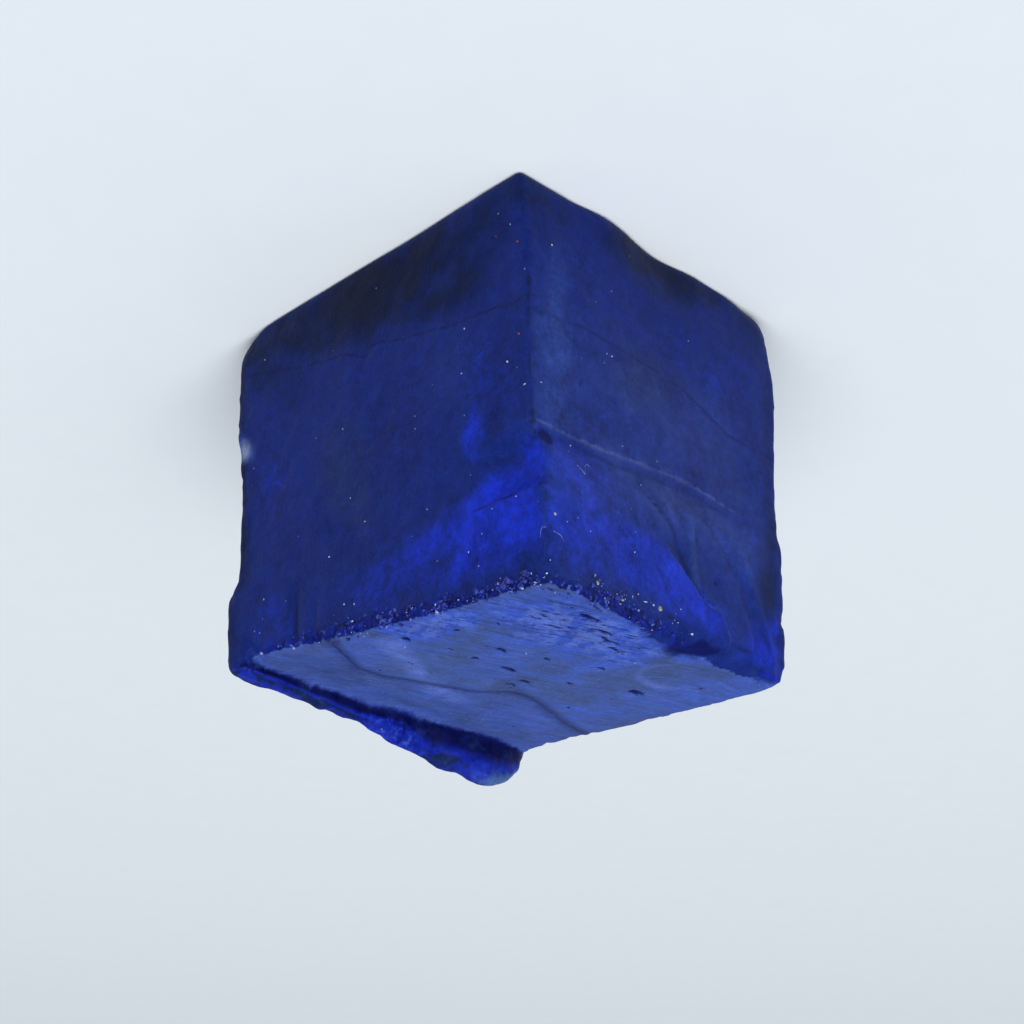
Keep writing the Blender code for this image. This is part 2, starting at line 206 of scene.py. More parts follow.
def face_normal(face):
    turn, lean = np.radians(FACES[face][:2])
    return np.array([np.cos(turn) * np.cos(lean), np.sin(turn) * np.cos(lean), np.sin(lean)])


def top_normal():
    slope = np.array([np.tan(TOP_FALL_X), np.tan(TOP_FALL_Y), 1.0])
    return slope / np.linalg.norm(slope)


def over_top(p):
    """Height over the sawn plane."""
    return p[:, 2] - (TOP_HEIGHT - p[:, 0] * np.tan(TOP_FALL_X) - p[:, 1] * np.tan(TOP_FALL_Y))


def beside(value, curve):
    """How far a value lies past a curve given as two rows: where, and the curve's value there."""
    return lambda along: value - np.interp(along, *curve)


def front_relief(p):
    """A flake scar that ends in a sharp step, a fuller foot at the near corner, and upright grooves."""
    x, z = p[:, 0], p[:, 2]
    scar = rise(z, 10.5, 11.3) * fall(z, 12.85, 13.05) * fall(x, -7.9, -5.4)
    notch = bump(z, 10.75, 0.55) * fall(x, -8.6, -7.7)
    foot = fall(x, -5.5, -1.0) * fall(z, 0.5, 3.5)
    relief = 0.16 * swell(p, 4.2, 3) + 0.15 * foot - 0.42 * scar - 0.14 * notch
    relief -= 0.12 * bump(x, 4.70, 0.45) * rise(z, 12.2, 13.3)
    relief -= 0.09 * bump(x, 3.45, 0.40) * rise(z, 13.4, 14.5)
    hair = beside(z, FRONT_HAIR)(x)
    relief += 0.05 * rise(hair, -0.05, 0.08) * fall(x, 3.0, 7.0)
    relief -= 0.10 * bump(np.hypot((x - 8.1) / 1.2, (z - 5.5) / 0.8), 0.0, 1.0)
    return relief


def left_relief(p):
    """A ledge with a hollow over it, a raised skin beside the near edge, sweeping folds and a wavy foot."""
    y, z = p[:, 1], p[:, 2]
    over = beside(z, (SHELF_Y, SHELF_Z))(y)
    fade = fall(y, 1.5, 6.0)
    hollow = rise(over, -0.04, 0.12) * fall(over, 0.22, 1.7) * fade
    tread = bump(over, -0.08, 0.16) * fade * rise(y, -8.0, -6.0)
    skin = rise(over, 0.25, 1.0) * fall(y, -5.5, -2.0)
    relief = 0.13 * swell(p, 4.6, 7) - 0.18 * hollow + 0.03 * tread + 0.20 * skin
    folds = rise(z, 10.6, 11.6)
    relief -= 0.12 * bump(beside(y, ARC_GROOVE)(z), 0.0, 0.38) * folds
    relief += 0.10 * bump(beside(y, PALE_RIDGE)(z), 0.0, 0.30) * folds
    relief -= 0.11 * bump(beside(y, SECOND_GROOVE)(z), 0.0, 0.42) * folds
    relief += 0.07 * bump(beside(y, SECOND_RIDGE)(z), 0.0, 0.36) * folds
    lobe = fall(beside(y, LOBE_EDGE)(z), -0.10, 0.12) * rise(z, 12.7, 13.2) * rise(y, -3.5, -1.0)
    relief += 0.08 * lobe
    for middle, half_length, height in FOOT_WAVES:
        relief += height * bump(y, middle, half_length) * fall(z, 0.2, 2.6)
    for middle_y, middle_z, half, pit in LEFT_PITS:
        relief -= pit * bump(np.hypot(y - middle_y, z - middle_z), 0.0, half)
    return relief


def right_relief(p):
    """The ledge round the top of this face, with a ragged lower edge, and a slanting furrow."""
    y, z = p[:, 1], p[:, 2]
    ragged = swell(p * (0.0, 1.0, 0.0), 2.1, 11)
    over = z - (11.3 + 0.05 * y + 0.5 * fall(y, -7.2, -5.0) + 0.95 * ragged * rise(y, -7.5, -5.0))
    thickness = 0.56 * (1.0 + 0.35 * ragged) + 0.22 * bump(y, -0.2, 3.5)
    furrow = bump(z - 0.25 * y, 5.6, 0.9) * rise(y, -6.0, -3.0)
    return 0.15 * swell(p, 3.9, 12) + thickness * rise(over, -0.1, 0.75) - 0.13 * furrow


def back_relief(p):
    """One low slanting step, and the swelling behind the end of the lip."""
    x, z = p[:, 0], p[:, 2]
    slanted = z + 0.45 * x
    step = rise(slanted, 6.0, 7.5) * fall(slanted, 7.5, 11.0)
    lug = bump(x, 8.8, 1.9) * bump(z, 16.2, 2.4)
    return 0.16 * swell(p, 4.4, 17) + 0.20 * step + 0.55 * lug


def top_relief(p):
    """A nearly flat sawn face, with a flake scar, a trough at the lip's foot and a low strip beside it."""
    x, y = p[:, 0], p[:, 1]
    reach = np.hypot((x + 5.6) / 2.1, (y - 4.2) / 2.3)
    trough = bump(x, 7.4, 1.3) * bump(y, 0.4, 3.4)
    relief = 0.05 * swell(p, 3.0, 21) - 0.18 * fall(reach, 0.4, 1.0) - 0.22 * trough
    return relief - 0.07 * rise(beside(x, STRIP_BORDER)(y), -0.05, 0.15)


RELIEFS = {"front": front_relief, "left": left_relief, "right": right_relief, "back": back_relief}


def worn_softness(p):
    softness = np.full(len(p), EDGE_SOFTNESS)
    for place, reach, added in WORN_PLACES:
        softness += added * fall(np.linalg.norm(p - np.array(place), axis=1), 0.0, reach)
    return softness


def plane_depths(p, reliefs=True):
    """Depth under each face's plane, its relief included."""
    depths = {}
    for face, relief in RELIEFS.items():
        depths[face] = p @ face_normal(face) - FACES[face][2]
        if reliefs:
            depths[face] -= relief(p)
    depths["top"] = p @ top_normal() - TOP_HEIGHT * top_normal()[2]
    if reliefs:
        depths["top"] -= top_relief(p)
    depths["base"] = BASE_HEIGHT - p[:, 2]
    bevelled = rise(p[:, 1], -1.6, -0.4) * fall(p[:, 1], 5.0, 6.5)
    depths["bevel"] = (p[:, 2] - p[:, 0]) * np.sqrt(0.5) - BEVEL_DISTANCE - BEVEL_DRAWN_OFF * (1.0 - bevelled)
    return depths


def lip_depth(p, depths, softness=LIP_SOFTNESS):
    """Depth in the lip: outside its inner wall, its ragged crest, its root or the sides it is above 0."""
    over = over_top(p)
    foot = np.interp(p[:, 1], LIP_ALONG, LIP_FOOT_X)
    ragged = 0.10 * swell(p, 0.9, 31)
    inner = foot + LIP_LEAN * over + ragged - p[:, 0]
    crest = over - np.interp(p[:, 1], LIP_ALONG, LIP_CREST) + ragged
    root = -over - LIP_ROOT
    return soft_max([inner, crest, root, depths["right"], depths["front"], depths["back"]], softness)


def depth(p):
    """Signed depth in mm: below 0 inside the stone, 0 on its surface."""
    depths = plane_depths(p)
    body = soft_max(list(depths.values()), worn_softness(p))
    return -soft_max([-body, -lip_depth(p, depths)], JOIN_SOFTNESS)


def slope_of(measure, points, step=0.01):
    """Numeric slope of a depth, scaled to length 1."""
    slope = np.empty_like(points)
    for axis, offset in enumerate(np.eye(3) * step):
        slope[:, axis] = measure(points + offset) - measure(points - offset)
    return slope / np.maximum(np.linalg.norm(slope, axis=1), 1e-9)[:, None]


def seat(points, way, rounds=9, step=0.01):
    """Slides each point along its own way out of the block until the stone's depth there is 0."""
    for _ in range(rounds):
        here = depth(points)
        rate = (depth(points + step * way) - here) / step
        points = points - np.clip(here / np.maximum(rate, 0.3), -0.4, 0.4)[:, None] * way
    return points


def relax(points, faces, share, rounds=12):
    """Evens out the spacing: each point moves by its share to the middle of its neighbours, then back onto
    the surface."""
    ends = np.concatenate([faces[:, [0, 1]], faces[:, [1, 2]], faces[:, [2, 3]], faces[:, [3, 0]]])
    ends = np.concatenate([ends, ends[:, ::-1]])
    count = np.bincount(ends[:, 0], minlength=len(points))[:, None]
    for _ in range(rounds):
        sums = [np.bincount(ends[:, 0], points[ends[:, 1], axis], len(points)) for axis in range(3)]
        points = points + share[:, None] * (np.stack(sums, axis=1) / count - points)
        moved = np.flatnonzero(share)
        near = points[moved]
        points[moved] = near - np.clip(depth(near), -0.2, 0.2)[:, None] * slope_of(depth, near)
    return points


def sheet(axis, at, first, second, turned):
    """Cells of one flat sheet of the block's lattice, at one index of its axis: corners by ranges of the two
    other axes' indices."""
    a, b = np.meshgrid(np.arange(*first), np.arange(*second), indexing="ij")
    others = [n for n in range(3) if n != axis]
    cells = np.full(a.shape + (4, 3), at)
    for corner, (step_a, step_b) in enumerate(((0, 0), (1, 0), (1, 1), (0, 1))):
        cells[..., corner, others[0]] = a + step_a
        cells[..., corner, others[1]] = b + step_b
    cells = cells.reshape(-1, 4, 3)
    return cells[:, ::-1] if turned else cells


def block_with_lip():
    """Lattice points and four-cornered faces of a block whose top is drawn up into a wall along +X."""
    x, y, z = LINES_X, LINES_Y, LINES_Z
    wall, crest = x - LIP_COLUMNS, z + LIP_ROWS
    cells = np.concatenate([
        sheet(2, 0, (0, x), (0, y), True),
        sheet(0, 0, (0, y), (0, z), True),
        sheet(0, x, (0, y), (0, crest), False),
        sheet(1, 0, (0, x), (0, z), False),
        sheet(1, 0, (wall, x), (z, crest), False),
        sheet(1, y, (0, x), (0, z), True),
        sheet(1, y, (wall, x), (z, crest), True),
        sheet(2, z, (0, wall), (0, y), False),
        sheet(0, wall, (0, y), (z, crest), True),
        sheet(2, crest, (wall, x), (0, y), False),
    ])
    codes = (cells[..., 0] * 1000 + cells[..., 1]) * 1000 + cells[..., 2]
    kept, faces = np.unique(codes, return_inverse=True)
    points = np.stack([kept // 1000000, kept // 1000 % 1000, kept % 1000], axis=1)
    return points, faces.reshape(-1, 4)


def spread(share, dense_start, dense_end):
    """Even steps from 0 to 1 turned into steps that are shorter at the start and at the end."""
    places = np.linspace(0.0, 1.0, 401)
    wanted = 1.0 + dense_start * np.exp(-places / 0.09) + dense_end * np.exp(-(1.0 - places) / 0.09)
    steps = np.concatenate([[0.0], np.cumsum((wanted[1:] + wanted[:-1]) / 2.0)])
    return np.interp(share, steps / steps[-1], places)


def box_corner(x_face, y_face, high):
    level_normal = top_normal() if high else np.array([0.0, 0.0, 1.0])
    level_distance = TOP_HEIGHT * top_normal()[2] if high else BASE_HEIGHT
    normals = np.array([face_normal(x_face), face_normal(y_face), level_normal])
    return np.linalg.solve(normals, np.array([FACES[x_face][2], FACES[y_face][2], level_distance]))


def side_points(x_face, along, up):
    corners = [[box_corner(x_face, y_face, high) for y_face in ("front", "back")] for high in (False, True)]
    low, high = (start + np.outer(along, end - start) for start, end in corners)
    return low + up[:, None] * (high - low)


def rough_place(lattice):
    """Puts lattice points near their place on the stone, with the lines crowding towards its edges."""
    column, row, level = lattice.T.astype(float)
    along = spread(row / LINES_Y, 2.2, 1.6)
    up = spread(np.minimum(level / LINES_Z, 1.0), 1.0, 2.4)
    left = side_points("left", along, up)
    outer = side_points("right", along, up)
    outer[:, 0] += 0.40 * rise(outer[:, 2] - 11.3, -0.1, 0.75)
    foot = outer.copy()
    foot[:, 0] = np.minimum(np.interp(outer[:, 1], LIP_ALONG, LIP_FOOT_X), outer[:, 0] - LIP_THINNEST)
    wall = LINES_X - LIP_COLUMNS
    to_lip = spread(np.minimum(column / wall, 1.0), 2.4, 0.8)[:, None]
    in_lip = np.maximum(column - wall, 0.0)[:, None] / LIP_COLUMNS
    placed = left + to_lip * (foot - left) + in_lip * (outer - foot)
    climb = np.maximum(level - LINES_Z, 0.0) / LIP_ROWS
    climb *= LIP_STANDS * np.interp(placed[:, 1], LIP_ALONG, LIP_CREST)
    placed[:, 2] += climb
    placed[:, 0] += climb * LIP_LEAN * (1.0 - in_lip[:, 0])
    return placed


def ways_out(lattice, points):
    """The way each lattice point slides, the slope of a soft block or straight out of the lip, and its share
    in evening out, which is for the lip alone."""
    column, row, level = lattice.T.astype(float)
    wall = LINES_X - LIP_COLUMNS
    under_lip = column >= wall

    def block_depth(p):
        depths = plane_depths(p, reliefs=False)
        depths["top"] = depths["top"] - 3.0 * under_lip
        return soft_max(list(depths.values()), 0.5)

    way = slope_of(block_depth, points)
    across = 2.0 * (column - wall) / LIP_COLUMNS - 1.0
    high = (level - LINES_Z) / LIP_ROWS
    side = 2.0 * row / LINES_Y - 1.0
    at_foot = (column == wall) & (high == 0.0)
    upward = np.maximum(high, 0.0) ** 6 + at_foot
    out = np.stack([across ** 5, np.sign(side) * np.abs(side) ** 80, upward], axis=1)
    out /= np.maximum(np.linalg.norm(out, axis=1), 1e-9)[:, None]
    in_lip = under_lip & (high >= 0.0)
    share = 0.6 * under_lip * rise(high, -0.5, 0.0)
    return np.where(in_lip[:, None], out, way), share


def write_mesh(name, points, faces, smooth=True, fields=None):
    """A mesh object from points in mm of the planes' frame, faces of one size, and fields of one number for
    each point."""
    mesh = bpy.data.meshes.new(name)
    faces = np.asarray(faces, np.int32)
    mesh.vertices.add(len(points))
    mesh.vertices.foreach_set("co", ((points - ORIGIN) * MM).astype(np.float32).ravel())
    mesh.loops.add(faces.size)
    mesh.loops.foreach_set("vertex_index", faces.ravel())
    mesh.polygons.add(len(faces))
    mesh.polygons.foreach_set("loop_start", np.arange(0, faces.size, faces.shape[1], dtype=np.int32))
    mesh.polygons.foreach_set("use_smooth", np.full(len(faces), smooth))
    mesh.update(calc_edges=True)
    mesh.validate()
    for field, values in (fields or {}).items():
        mesh.attributes.new(field, "FLOAT", "POINT").data.foreach_set("value", values.astype(np.float32))
    obj = bpy.data.objects.new(name, mesh)
    bpy.context.scene.collection.objects.link(obj)
    return obj


def nearness(p):
    """Share of each face at each point, for what belongs to one face and fades over the edges."""
    depths = plane_depths(p)
    lip = lip_depth(p, depths)
    body = soft_max(list(depths.values()), EDGE_SOFTNESS)
    highest = np.maximum.reduce(list(depths.values()))
    weights = {face: np.exp((value - highest) / FACE_FADE) for face, value in depths.items()}
    total = sum(weights.values())
    weights = {face: value / total for face, value in weights.items()}
    others = np.maximum.reduce([value for face, value in depths.items() if face != "top"])
    second = np.sort(np.stack(list(depths.values())), axis=0)[-2]
    weights["inset"] = depths["top"] - others
    weights["lip"] = body - lip
    weights["edge"] = np.exp(-(highest - second) / EDGE_FADE)
    turned_away = np.maximum(depths["right"], depths["back"])
    weights["outer"] = np.exp(-(highest - turned_away) / OUTER_FADE)
    return weights


def pits_at(p):
    """How deep each point of the sawn top lies in a pit, in mm, and its share of the way in from the rim."""
    x, y = p[:, :1], p[:, 1:2]
    uneven = 1.0 + 0.25 * swell(p, 0.4, 40, 64)[:, None]
    reach = uneven * np.hypot((y - PITS[:, 1]) / PITS[:, 2], (x - PITS[:, 0]) / PITS[:, 3])
    return (PITS[:, 4] * fall(reach, 0.35, 1.05)).max(axis=1), np.clip(1.0 - reach.min(axis=1), -1.0, 1.0)


def saw_marks(p):
    """Fine ridges that run across the sawn top, and how torn it is: most towards the near corner."""
    across = SAW_X * p[:, 0] + SAW_Y * p[:, 1]
    along = SAW_X * p[:, 1] - SAW_Y * p[:, 0]
    laid = np.stack([across, along / 14.0, np.zeros(len(p))], axis=1)
    ridges = 0.6 * swell(laid, 0.36, 41, 64) + 0.4 * swell(laid, 0.22, 42, 64)
    torn = fall(np.hypot((p[:, 0] + 6.4) / 3.2, (p[:, 1] + 2.4) / 5.2), 0.3, 1.2)
    torn = np.maximum(torn, fall(np.hypot((p[:, 0] + 2.0) / 3.5, (p[:, 1] + 6.2) / 1.6), 0.3, 1.2))
    return ridges, torn


def rim_band(p, depths):
    """How far inside the crumbly band under the sawn top's two near edges each point lies, in mm."""
    x, y = p[:, 0], p[:, 1]
    on_front = depths["front"] > depths["left"]
    width = np.where(on_front, np.interp(x, *FRONT_BAND), np.interp(y, *LEFT_BAND))
    seen = (depths["front"] > -0.5) | (depths["left"] > -0.5)
    return np.where(seen & (x < 8.0), np.clip(width + depths["top"], -1.0, 1.0), -1.0)


def far_ledges(p, near):
    """For each low ledge of the faces turned away: distance over its wavy line, its share and its drop."""
    for face, height, slope, start, end, drop in FAR_LEDGES:
        along = p[:, AXES[face][0]]
        wavy = 0.60 * swell(p * (1.0, 1.0, 0.25), 3.1, 83) + 0.12 * swell(p * (1.0, 1.0, 0.25), 1.3, 84, 32)
        share = near[face] * rise(along, start, start + 2.5) * fall(along, end - 2.5, end)
        yield p[:, 2] - height - slope * along - wavy, share, drop


def fine_relief(p, near):
    """What is laid over the seated surface along its normal, in mm."""
    off_top = 1.0 - near["top"] * (near["lip"] < 0.0)
    skin = 0.034 * swell(p, 1.15, 51, 32) + 0.019 * swell(p, 0.52, 52, 64) + 0.010 * swell(p, 0.26, 53, 96)
    relief = skin * (0.25 + 0.75 * off_top)
    hidden = near["right"] + near["back"]
    relief += 0.040 * hidden * np.abs(swell(p, 0.85, 54, 32))
    for over, share, drop in far_ledges(p, near):
        relief -= share * drop * rise(over, -0.30, 0.34) * fall(over, 0.4, 2.8)
    chips = rise(swell(p, 0.75, 55, 32), 0.15, 0.65) + 0.7 * rise(swell(p, 0.40, 60, 64), 0.2, 0.6)
    near_edge = fall(np.hypot(p[:, 0] + 8.9, p[:, 1] + 7.2), 0.5, 2.5)
    relief -= (0.06 + 0.07 * near_edge) * near["edge"] * chips * rise(p[:, 2], 0.3, 1.0)
    crumbly = near["edge"] * rise(near["top"] * 4.0, 0.02, 0.5) * (p[:, 0] < 8.0)
    crumbly *= np.maximum(near["front"], near["left"] * fall(p[:, 1], -1.5, 0.5)) > 0.02
    relief += 0.055 * crumbly * (swell(p, 0.24, 56, 96) + 0.6 * swell(p, 0.13, 57, 160))
    ridges, torn = saw_marks(p)
    sawn = near["top"] * rise(near["inset"], 0.0, 0.25) * (near["lip"] < -0.05)
    relief += sawn * (0.012 * ridges * (1.0 + torn) - pits_at(p)[0])
    border = beside(p[:, 0], STRIP_BORDER)(p[:, 1])
    bitten = beside(p[:, 0], BITE_EDGE)(p[:, 1])
    groove = bump(bitten, -0.25, 0.5) * rise(over_top(p), -0.4, -0.1)
    relief -= 0.14 * groove * rise(p[:, 1], 0.6, 1.6) * fall(p[:, 1], 3.8, 5.5)
    relief -= 0.06 * sawn * bump(border, 0.0, 0.16) * rise(swell(p, 1.1, 58, 32), -0.6, 0.1)
    lumps = 0.08 * swell(p, 0.6, 59, 32) + 0.035 * swell(p, 0.3, 65, 64)
    relief += rise(near["lip"], 0.0, 0.3) * lumps
    return relief * rise(p[:, 2], BASE_HEIGHT + 0.02, BASE_HEIGHT + 0.35)


def normals_at(points):
    return slope_of(depth, points, 0.004)


def stone_surface():
    """Points of the block's lattice, seated on the stone and moved by its fine relief, faces and fields."""
    lattice, faces = block_with_lip()
    start = rough_place(lattice)
    way, share = ways_out(lattice, start)
    seated = relax(seat(start, way), faces, share)
    near = nearness(seated)
    points = seated + fine_relief(seated, near)[:, None] * normals_at(seated)
    points[:, 2] = np.maximum(points[:, 2], BASE_HEIGHT)
    return points, faces, fields_of(seated, near)


# Soft tilted ellipses of a colour: face, place along its two axes, reach along and across, tilt and share
ULTRAMARINE = (
    ("front", -6.93, 13.94, 4.2, 2.5, -2.0, 1.00),
    ("front", -2.72, 14.10, 5.2, 1.9, -3.0, 0.50),
    ("front", 6.90, 15.30, 1.8, 1.2, 0.0, 0.55),
    ("front", 6.00, 7.55, 1.9, 1.3, -58.0, 0.35),
    ("front", -6.47, 8.53, 2.5, 1.6, -78.0, 0.42),
    ("front", -5.92, 9.70, 1.5, 0.7, -87.0, 0.60),
    ("front", -8.47, 11.90, 1.2, 1.0, -47.0, 0.90),
    ("front", 6.13, 13.49, 2.0, 1.2, -29.0, 0.30),
    ("left", -4.74, 14.31, 3.6, 2.8, -10.0, 0.72),
    ("left", -5.20, 11.60, 3.0, 1.6, 0.0, 0.76),
    ("left", 0.30, 14.80, 4.0, 1.9, 22.0, 0.85),
    ("left", -2.40, 14.20, 3.0, 1.8, 10.0, 0.80),
    ("front", -2.70, 15.00, 4.0, 1.0, 0.0, 0.35),
    ("left", 5.30, 13.00, 3.4, 1.8, 60.0, 0.15),
    ("left", 1.71, 16.08, 3.0, 0.6, 7.0, 0.60),
    ("left", 4.25, 3.92, 2.6, 1.7, -75.0, 0.30),
    ("left", -4.06, 9.53, 1.8, 0.9, -4.0, 0.38),
    ("left", 5.60, 15.60, 2.2, 1.4, -49.0, 0.90),
)
NAVY = (
    ("front", -0.81, 1.49, 5.6, 2.2, -5.0, 1.00),
    ("front", 5.24, 3.41, 3.4, 1.4, -26.0, 0.50),
    ("front", -6.40, 1.80, 2.2, 1.8, 0.0, 0.45),
    ("left", -6.60, 1.60, 2.0, 1.6, 0.0, 0.35),
    ("left", -0.60, 6.40, 3.0, 1.6, -6.0, 0.75),
    ("left", 3.40, 8.60, 2.4, 1.6, 0.0, 0.40),
    # Painted shade on the sawn top, where it darkens towards the lip
    ("top", 6.00, -4.60, 2.8, 1.3, 85.0, 0.80),
    ("left", 0.45, 0.13, 5.2, 1.8, -1.0, 0.60),
    ("left", 5.90, 13.40, 2.8, 1.0, -81.0, 0.75),
    ("left", 6.65, 7.93, 7.3, 0.6, -84.0, 0.60),
)
GREY = (
    ("front", 1.35, 9.21, 3.7, 2.3, -78.0, 0.80),
    ("front", 2.71, 12.20, 3.9, 1.3, -20.0, 0.50),
    ("left", -1.11, 6.37, 3.5, 1.7, -6.0, 0.75),
    ("left", 0.47, 10.83, 3.7, 0.85, 4.0, 0.95),
    ("top", -2.32, 3.72, 3.1, 2.4, 26.0, 0.55),
    ("top", 1.57, -3.01, 2.7, 1.7, -83.0, 0.90),
)
VEIL = (
    ("left", 0.60, 11.10, 5.2, 1.6, 4.0, 0.36),
    ("left", 1.20, 7.60, 4.2, 2.4, 8.0, 0.12),
    ("left", -4.00, 12.20, 3.4, 2.6, 0.0, 0.10),
    ("front", -4.50, 6.90, 1.6, 2.6, 20.0, 0.10),
)
PALE = (
    ("left", -6.00, 6.60, 4.8, 1.2, -86.0, 0.34),
    # A painted highlight: a blurred glow low on the front near its outer end
    ("front", 8.25, 5.50, 0.9, 0.6, -37.0, 1.00),
    # A painted highlight: a small glint high on the front near its outer end
    ("front", 7.05, 14.95, 0.35, 0.22, -30.0, 0.90),
)
# Top: the pale vein, as points (y, x)
VEIN = ((-5.7, -3.0, -0.4, 1.1), (0.8, 2.5, 4.0, 4.4))
AXES = {"front": (0, 2), "back": (0, 2), "left": (1, 2), "right": (1, 2), "top": (0, 1)}


def patches(p, near, ellipses):
    """The strongest of soft tilted ellipses, their outlines pulled about by slow noise."""
    pull = np.stack([swell(p, 1.7, seed, 32) for seed in (61, 62, 63)], axis=1)
    pulled = p + 0.45 * pull
    total = np.zeros(len(p))
    for face, first, second, reach_along, reach_across, tilt, share in ellipses:
        turn = np.radians(tilt)
        u, v = pulled[:, AXES[face][0]] - first, pulled[:, AXES[face][1]] - second
        along = (u * np.cos(turn) + v * np.sin(turn)) / reach_along
        across = (v * np.cos(turn) - u * np.sin(turn)) / reach_across
        total = np.maximum(total, share * near[face] * fall(np.hypot(along, across), 0.25, 1.25))
    return total


def far_tints(p, near):
    """Slow clouds of the hidden faces, stronger in the hollows over their ledges, and the ledges' edges,
    which are painted highlights.
    """
    clouds = swell(p, 3.6, 64)
    edges, hollows = np.zeros(len(p)), np.zeros(len(p))
    for distance, share, drop in far_ledges(p, near):
        edges = np.maximum(edges, share * drop * 4.0 * bump(distance, -0.10, 0.42))
        hollow = rise(distance, -0.1, 0.4) * fall(distance, 0.4, 2.0)
        hollows = np.maximum(hollows, share * drop * 5.0 * hollow)
    return clouds + 0.7 * hollows, edges


def pale_places(p, near, far_ledge_highlights):
    """Where the stone is paler: two folds of the left face, a vein and a dish's rim on the top, and edges.
    The folds' ridges, the ledges' edges on the faces turned away, and the glow and the glint on the front are
    painted highlights.
    """
    x, y, z = p.T
    # Painted highlights on the raised ridges of the left face's folds
    first = bump(beside(y, PALE_RIDGE)(z), 0.0, 0.35) * rise(z, 10.8, 11.6) * fall(z, 14.5, 15.5)
    second = bump(beside(y, SECOND_RIDGE)(z), 0.0, 0.30) * rise(z, 11.2, 11.8) * fall(z, 12.6, 13.5)
    folds = near["left"] * (0.5 * first + 0.4 * second)
    vein = near["top"] * bump(beside(x, VEIN)(y), 0.0, 1.0) * fall(y, 0.5, 1.6) * rise(y, -7.0, -5.5)
    dish = np.hypot((x + 5.45) / 1.5, (y - 3.75) / 1.6)
    rim = near["top"] * bump(dish, 1.0, 0.22) * rise(x - y, -10.0, -8.5) * fall(x - y, -8.0, -5.5)
    return np.maximum.reduce([patches(p, near, PALE), 0.8 * folds, 0.9 * vein, 0.7 * rim, 0.55 * far_ledge_highlights])


def painted_shade_places(p, near, bitten, over_shelf):
    """Painted shade, where the stone is darkest: in the crevice beside the bite, in a notch on the near edge,
    at steps and in grooves.
    """
    x, y, z = p.T
    frayed = 0.30 * swell(p, 0.7, 66, 32) + 0.16 * swell(p, 0.3, 67, 64)
    crevice = rise(bitten + 0.6 * frayed, -1.20, -0.55) * fall(bitten, -0.30, 0.20)
    crevice *= rise(over_top(p) + 0.6 * frayed, -0.70, -0.10)
    crevice *= np.interp(y, (0.4, 1.2, 3.2, 4.4, 6.0, 7.0), (0.0, 1.0, 1.0, 0.5, 0.4, 0.0))
    notch_shade = near["front"] * fall(np.hypot((x + 8.9) / 0.7, (z - 10.8) / 0.65), 0.3, 1.0)
    notch_shade = np.maximum(notch_shade, near["left"] * fall(np.hypot((y + 6.4) / 0.6, (z - 10.9) / 0.5), 0.3, 1.0))
    scar_edge = near["front"] * bump(z - 12.98, 0.0, 0.14) * fall(x, -6.3, -5.0)
    groove = near["front"] * bump(x - 4.7, 0.0, 0.3) * rise(z, 12.4, 13.2) * fall(z, 15.0, 15.6)
    arcs = near["left"] * bump(beside(y, ARC_GROOVE)(z), 0.0, 0.4) * rise(z, 11.0, 11.6) * fall(z, 13.6, 14.6)
    under = near["left"] * bump(over_shelf, 0.30, 0.34) * fall(y, 3.0, 5.5) * rise(y, -7.6, -6.0)
    return np.maximum.reduce([crevice, notch_shade, 0.8 * scar_edge, 0.6 * groove, 0.5 * arcs, 0.40 * under])


def lip_fields(p, near):
    """Shares of the lip and, on it, of its foot, its crest, its lumps and its far end."""
    x, y = p[:, 0], p[:, 1]
    height = over_top(p) / np.interp(y, LIP_ALONG, LIP_CREST)
    outward = beside(x - LIP_LEAN * over_top(p), (LIP_ALONG, LIP_FOOT_X))(y)
    facing_in = fall(outward, 0.25, 0.80)
    lip = rise(near["lip"], -0.35, 0.0) * rise(over_top(p), -0.3, 0.1)
    lip *= np.maximum(facing_in, rise(height, 0.2, 0.9))
    return {
        "lip": lip,
        # The foot's share carries painted shade where the lip rises from the top
        "foot": lip * fall(height, 0.25, 0.75) * facing_in,
        "crest": lip * bump(height, 0.85, 0.35) * fall(y, 3.5, 5.5),
        "lump": lip * fall(np.hypot((y - 0.6) / 2.4, (height - 0.72) / 0.55), 0.4, 1.15),
        "tip": lip * rise(y, 4.5, 7.0) * rise(height, 0.6, 1.0),
    }


